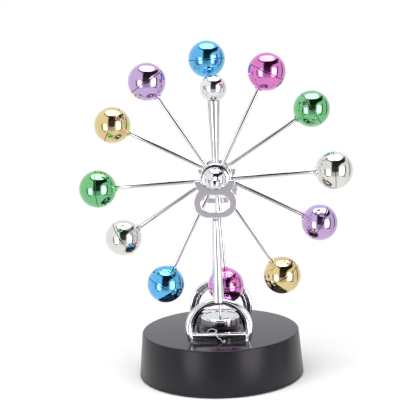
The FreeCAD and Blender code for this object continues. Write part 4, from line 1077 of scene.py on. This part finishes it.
@dataclass
class Stands:
    """Two chrome stands: a looped leg with a crossbar and a post, and a yoke, front and rear."""

    offset: float = 27.4
    depth: float = 5.0
    roof: float = 28.9
    loop_top: float = 55.6
    half_width: float = 20.8
    half_height: float = 17.6
    leg_stretch: float = 1.3
    window_radius: float = 16.7
    window_back: float = 14.6
    window_centre: float = 36.3
    back_crown: float = 1.2
    ridge: tuple[tuple[float, float], ...] = (
        (0.0, 1.6), (0.02, 1.0), (0.06, 0.66), (0.13, 0.44), (0.30, 0.09),
        (0.38, 0.0), (0.47, 0.07), (0.98, 0.57), (1.03, 0.8), (1.07, 1.3),
    )
    bar_bottom: float = 31.5
    bar_top: float = 33.5
    bar_rounds: tuple[float, float] = (0.9, 0.45)
    foot_span: float = 16.4
    post_foot: float = 3.6
    post_tip: float = 2.15
    post_top: float = 104.7
    post_sink: float = 1.6
    post_edge: float = 0.15
    wire_radius: float = 0.33

    def build(self) -> None:
        """Build the stands and dress them."""
        leg = smoothed(joined([self.loop(), self.crossbar(), self.post()]), 38)
        for side, turn in SIDES:
            piece = placed(copied(leg), turn @ moved(0, -self.offset, 0))
            dressed(piece, side + "_looped_leg", Tone.STAND, "base", [side + "_leg"])
            piece = softened(side + "_yoke")
            dressed(piece, side + "_ringed_yoke", Tone.STAND, "base", [side + "_yoke"])
        bpy.data.objects.remove(leg)
        dressed(self.wire(), "bent_wire_clip", Tone.STEEL, "base")

    def wire(self) -> Piece:
        """Model the thin wire that arches up behind the front crossbar and rests on the roof before it.

        Returns:
            The wire.
        """
        clear()
        front, rear = -self.offset - self.depth / 2, -self.offset + self.depth / 2
        over, down = self.bar_top + self.wire_radius, self.roof + self.wire_radius
        spots = (
            (-7.6, rear + 0.5, self.bar_bottom + 0.6), (-7.2, rear + 1.0, over),
            (-5.6, rear + 1.3, over + 1.3), (-3.0, rear + 1.1, over + 1.2),
            (-1.8, rear + 0.2, over + 0.4), (-2.6, rear - 1.2, over),
            (-2.8, front + 1.5, over), (-2.3, front - 0.3, over - 0.2),
            (-0.9, front - 0.7, over - 2.2), (0.9, front - 1.2, down + 1.4),
            (2.0, front - 1.6, down), (3.2, front - 1.7, down),
            (3.3, front - 1.0, down + 0.5), (2.6, front - 0.8, down + 0.7),
        )
        bpy.ops.curve.primitive_nurbs_path_add()
        enter("EDIT")
        bpy.ops.curve.select_all(action="SELECT")
        bpy.ops.curve.delete(type="VERT")
        for spot in spots:
            bpy.ops.curve.vertex_add(location=tuple(part * MM for part in spot))
        enter("OBJECT")
        line = bpy.context.object.data
        line.splines[0].use_endpoint_u = True
        line.splines[0].order_u = 3
        line.resolution_u = 8
        line.bevel_depth = self.wire_radius * MM
        line.bevel_resolution = 4
        line.use_fill_caps = True
        bpy.ops.object.convert(target="MESH")
        return smoothed(bpy.context.object, 50)

    def section(self) -> Outline:
        """Give the loop's cross-section: way from its rim towards its window, and depth.

        The way is 0 at the rim and 1 at the window's edge in the outer face. The outer face rises to
        a rounded ridge a third of the way in, and the inner face is crowned. The window narrows
        towards the inner face, where a strip is left beside it.

        Returns:
            The cross-section.
        """
        half, back, window = self.depth / 2, self.back_crown, self.window_radius
        slope = (window - self.window_back) / (self.half_width - window) / self.depth
        crown = [(way, drop - half) for way, drop in self.ridge]
        strip = [(1 + slope * (self.depth - 0.5), half - 0.5), (1.42, half - 0.3), (1.06, half - 0.3)]
        turns = [math.radians(angle) for angle in range(0, 181, 12)]
        inner = [((1 + math.cos(turn)) / 2, half - back * (1 - math.sin(turn))) for turn in turns]
        return crown + strip + inner

    def loop(self) -> Piece:
        """Model the loop: spin its section, draw each ring to its own oval and stretch the legs.

        Returns:
            The loop.
        """
        section = self.section()
        rings = [(10.0 + index, -depth) for index, (_, depth) in enumerate(section)]
        piece = placed(turned(rings + rings[:1], 160), AXLE_UP)
        middle = self.loop_top - self.half_height
        for index, (way, depth) in enumerate(section):
            share, inwards = min(way, 1.0), max(way - 1.0, 0.0) * (self.half_width - self.window_radius)
            wide = self.half_width + (self.window_radius - self.half_width) * share - inwards
            tall = self.half_height + (self.window_radius - self.half_height) * share - inwards
            centre = middle + (self.window_centre - middle) * share
            ovaled(piece, (10.0 + index, depth), (wide, tall), centre)
        placed(piece, Matrix.Translation((0, 0, -AWAY)))
        select(piece, "VERT", lambda spot: spot.z < middle * MM)
        bpy.ops.transform.resize(value=(1, 1, self.leg_stretch), center_override=(0, 0, middle * MM))
        enter("OBJECT")
        sliced(piece, (0, 0, self.roof), (0, 0, -1))
        gap = (2 * self.foot_span, 2 * self.depth, self.bar_bottom - self.roof + 1.2)
        return hollowed(piece, block((self.roof + self.bar_bottom) / 2 + 0.2, gap))

    def crossbar(self) -> Piece:
        """Model the crossbar between the feet, with well rounded long edges.

        Returns:
            The crossbar.
        """
        bottom, top = self.bar_bottom, self.bar_top
        piece = block((bottom + top) / 2, (2 * self.window_radius - 0.6, self.depth - 0.1, top - bottom))
        for front, width in zip((True, False), self.bar_rounds):
            rounded(piece, lambda a, b: abs(a.x - b.x) > self.depth * MM and (a.y < 0) == front, width)
        return piece

    def post(self) -> Piece:
        """Model the tapered post, flared where it grows out of the loop.

        Returns:
            The post.
        """
        low, foot, edge = self.loop_top - self.post_sink, self.post_foot, self.post_edge
        tip, top = self.post_tip, self.post_top
        outline = [(0, low), (foot, low), (foot - 0.05, low + 0.9)]
        return turned(outline + [(tip, top - edge), (tip - edge, top), (0, top)], 64)


@dataclass
class Base:
    """The round charcoal housing."""

    height: float = 28.9
    top_radius: float = 50.3
    bottom_radius: float = 52.8
    edge: float = 1.0
    lift: float = 0.6
    lip_height: float = 1.0
    wall: float = 2.0
    roof: float = 2.2

    def build(self) -> None:
        """Build the housing and dress it."""
        top, bottom, height, edge = self.top_radius, self.bottom_radius, self.height, self.edge
        slope = (bottom - top) / (height - self.lift)
        lip = self.lift + self.lip_height
        skirt = top + slope * (height - lip)
        outline = [(0.0, height), (top - edge, height)]
        outline += arc(edge, 85, 5, 8, (top - edge, height - edge))
        outline += [(skirt - slope * 0.2, lip + 0.2), (skirt - 0.12, lip)]
        outline += [(bottom, lip - 0.15), (bottom, self.lift + 0.2), (bottom - 0.2, self.lift)]
        outline += [(bottom - self.wall, self.lift), (top - self.wall, height - self.roof)]
        piece = smoothed(turned(outline + [(0.0, height - self.roof)], 256), 50)
        dressed(piece, "round_housing", Tone.CASE, "base", ["base_shell"])


def dress_nodes() -> None:
    """Give the CAD nodes that stay their finishes."""
    for node, tone in NODE_TONES.items():
        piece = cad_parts[node]
        piece.data.materials.clear()
        piece.data.materials.append(tone.value.material())


# ---- the studio


@dataclass(frozen=True)
class StudioThing:
    """Something in the studio that bright plating mirrors, laid out as a ball in the photo shows it."""

    level: float
    middle: tuple[float, float]
    half: tuple[float, float]
    soft: float
    turn: float = 0.0
    bulge: float = 0.0
    round: float = 8.0

    def laid(self, graph: Graph, right: Wire, high: Wire, under: Wire | float) -> Wire:
        """Lay the thing over what is there.

        Args:
            graph: The world's graph.
            right: Place to the right on the ball.
            high: Place upwards on the ball.
            under: The level below the thing.

        Returns:
            The level with the thing.
        """
        x = right - self.middle[0]
        y = high - self.middle[1]
        if self.bulge:
            x = x + high * high * self.bulge
        cos, sin = math.cos(math.radians(self.turn)), math.sin(math.radians(self.turn))
        along = ((x * cos + y * sin) * (1 / self.half[0])).size()
        upward = ((y * cos - x * sin) * (1 / self.half[1])).size()
        reach = (along**self.round + upward**self.round) ** (1 / self.round)
        mask = graph.ramp(reach, 1 - self.soft, 1 + self.soft, 1, 0)
        return under * (1 - mask) + mask * self.level


STUDIO_THINGS = tuple(
    StudioThing(*row)
    for row in (
        (0.90, (1.1, 0.1), (0.55, 1.3), 0.12),
        (0.18, (0.80, 0.1), (0.028, 0.36), 0.3, 0, 0.45),
        (4.8, (0.37, -0.06), (0.12, 0.22), 0.15, 0, 0.3, 3.0),
        (4.8, (-0.35, -0.14), (0.09, 0.17), 0.2, 0, -0.3, 3.0),
        (0.05, (0.55, -0.03), (0.025, 0.28), 0.3, 0, 0.45),
        (0.05, (0.45, -0.32), (0.10, 0.02), 0.3),
        (0.05, (-0.38, -0.35), (0.08, 0.02), 0.3),
        (0.08, (-0.53, -0.12), (0.026, 0.16), 0.4, 0, -0.3),
        (0.56, (-0.01, -0.16), (0.20, 0.20), 0.3, 0, 0, 4.0),
        (0.05, (0.0, 0.09), (0.19, 0.22), 0.18, 0, 0, 4.0),
        (0.02, (0.05, 0.34), (0.23, 0.18), 0.25, 0, 0, 3.0),
        (0.02, (0.33, 0.42), (0.25, 0.11), 0.3, 25, 0, 3.0),
        (0.02, (0.50, 0.55), (0.05, 0.12), 0.3, -25, 0, 4.0),
        (0.02, (-0.28, 0.52), (0.14, 0.05), 0.3, -35),
        (4.0, (0.01, 0.64), (0.36, 0.155), 0.06, 0, 0, 2.6),
    )
)


@dataclass
class Studio:
    """Floor, surroundings, lamps and the camera at the photo's viewing angle."""

    lens: float = 96.165
    sensor: float = 36.0
    eye: tuple[float, float, float] = (20.924, -693.033, 225.076)
    elevation: float = 9.590
    azimuth: float = 2.190
    roll: float = -1.835
    floor_radius: float = 330.0
    floor_level: float = 0.93
    floor_white: tuple[float, float] = (70.0, 200.0)
    floor_gone: tuple[float, float] = (56.0, 80.0)
    room_level: float = 0.75
    aim_height: float = 90.0
    lamp_table: tuple[tuple, ...] = (
        ("overhead_lamp", (-60, -150, 620), 1.9, 420),
        ("left_lamp", (-560, -330, 330), 1.1, 360),
        ("right_lamp", (560, -260, 300), 0.9, 360),
    )

    def build(self) -> None:
        """Set the stage."""
        self.camera()
        self.floor()
        self.surroundings()
        self.lamps()
        bpy.context.scene.view_settings.view_transform = "Standard"

    def directions(self) -> tuple[Vector, Vector, Vector]:
        """Give directions in the photo.

        Returns:
            The directions to the right, up and towards the viewer.
        """
        up, side, tilt = (math.radians(angle) for angle in (self.elevation, self.azimuth, self.roll))
        back = Vector((math.sin(side) * math.cos(up), -math.cos(side) * math.cos(up), math.sin(up)))
        right = (-back).cross(Vector((0, 0, 1))).normalized()
        above = right.cross(-back)
        across = right * math.cos(tilt) + above * math.sin(tilt)
        return across, above * math.cos(tilt) - right * math.sin(tilt), back

    def camera(self) -> None:
        """Stand the camera where the photo was taken."""
        data = bpy.data.cameras.new("photo_camera")
        data.lens = self.lens
        data.sensor_width = self.sensor
        camera = bpy.data.objects.new("photo_camera", data)
        camera.matrix_world = moved(*self.eye) @ Matrix(self.directions()).transposed().to_4x4()
        bpy.context.scene.collection.objects.link(camera)
        bpy.context.scene.camera = camera

    def floor(self) -> None:
        """Lay a plain pale floor, which turns plain white far from the toy.

        Plating mirrors the floor only near the toy, and the studio's things beyond it.
        """
        clear()
        bpy.ops.mesh.primitive_circle_add(vertices=96, radius=self.floor_radius * MM, fill_type="NGON")
        floor = bpy.context.object
        floor.name = floor.data.name = "pale_floor"
        made = bpy.data.materials.new("pale_floor")
        made.use_nodes = True
        graph = Graph(made.node_tree)
        far = graph.vector("LENGTH", graph.place(), out="Value")
        reaches = (self.floor_white, self.floor_gone)
        plain, gone = (graph.ramp(far, start * MM, end * MM) for start, end in reaches)
        matt = graph.wire("ShaderNodeBsdfDiffuse", {"Color": (*[self.floor_level] * 3, 1.0)})
        white = graph.wire("ShaderNodeEmission", {"Color": (1, 1, 1, 1), "Strength": 1.0})
        mirrored = graph.ray("Glossy")
        seen = graph.ray("Camera") + mirrored + graph.ray("Transmission")
        open_air = graph.wire("ShaderNodeBsdfTransparent")
        whole = graph.mix(gone * mirrored, graph.mix(plain * seen, matt, white), open_air)
        graph.add("ShaderNodeOutputMaterial", {"Surface": whole})
        floor.data.materials.append(made)

    def surroundings(self) -> None:
        """Light the toy from a plain pale room, and let its plating mirror a photo studio.

        What the plating mirrors is laid out as one bright ball in the middle of the photo shows it:
        the studio's things have their places on that ball, from -1 to 1 to the right and up.
        """
        world = bpy.data.worlds.new("studio")
        bpy.context.scene.world = world
        world.use_nodes = True
        graph = Graph(world.node_tree)
        way = graph.wire("ShaderNodeTexCoord", out="Generated")
        across, upright, back = (tuple(direction) for direction in self.directions())
        middle = graph.vector("NORMALIZE", graph.vector("ADD", way, back))
        right, high = (graph.vector("DOT_PRODUCT", middle, axis, "Value") for axis in (across, upright))
        level: Wire | float = 1.0
        for thing in STUDIO_THINGS:
            level = thing.laid(graph, right, high, level)
        band = graph.ramp(high, -0.5, -0.05) * graph.ramp(high, 0.0, 0.2, 1, 0)
        low_middle = band * graph.ramp(right.size(), 0.2, 0.5, 1, 0)
        tint = graph.blend(low_middle, (1.0, 1.0, 1.0), (0.98, 0.90, 1.0))
        tint = graph.blend(graph.ramp(high, 0.8, 0.9), tint, (0.93, 0.95, 1.0))
        white = (1.0, 1.0, 1.0, 1.0)
        mirrored, plain, behind = (
            graph.wire("ShaderNodeBackground", {"Color": colour, "Strength": strength})
            for colour, strength in ((tint, level), (white, self.room_level), (white, 1.0))
        )
        lit = graph.mix(graph.ray("Glossy"), plain, mirrored)
        graph.add("ShaderNodeOutputWorld", {"Surface": graph.mix(graph.ray("Camera"), lit, behind)})

    def lamps(self) -> None:
        """Hang large soft lamps, which the plating doesn't mirror."""
        for name, spot, power, size in self.lamp_table:
            data = bpy.data.lights.new(name, "AREA")
            data.energy = power
            data.size = size * MM
            lamp = bpy.data.objects.new(name, data)
            aim = Vector((0, 0, self.aim_height)) - Vector(spot)
            lamp.matrix_world = moved(*spot) @ aim.to_track_quat("-Z", "Y").to_matrix().to_4x4()
            lamp.visible_glossy = False
            bpy.context.scene.collection.objects.link(lamp)


def main() -> None:
    """Build the toy and its studio."""
    logging.basicConfig(level=logging.INFO, format="%(message)s")
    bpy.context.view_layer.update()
    Studio().build()
    dress_nodes()
    for part in (Base(), Stands(), Wheel(), Pendulum()):
        part.build()
    clear()


if __name__ == "__main__":
    main()
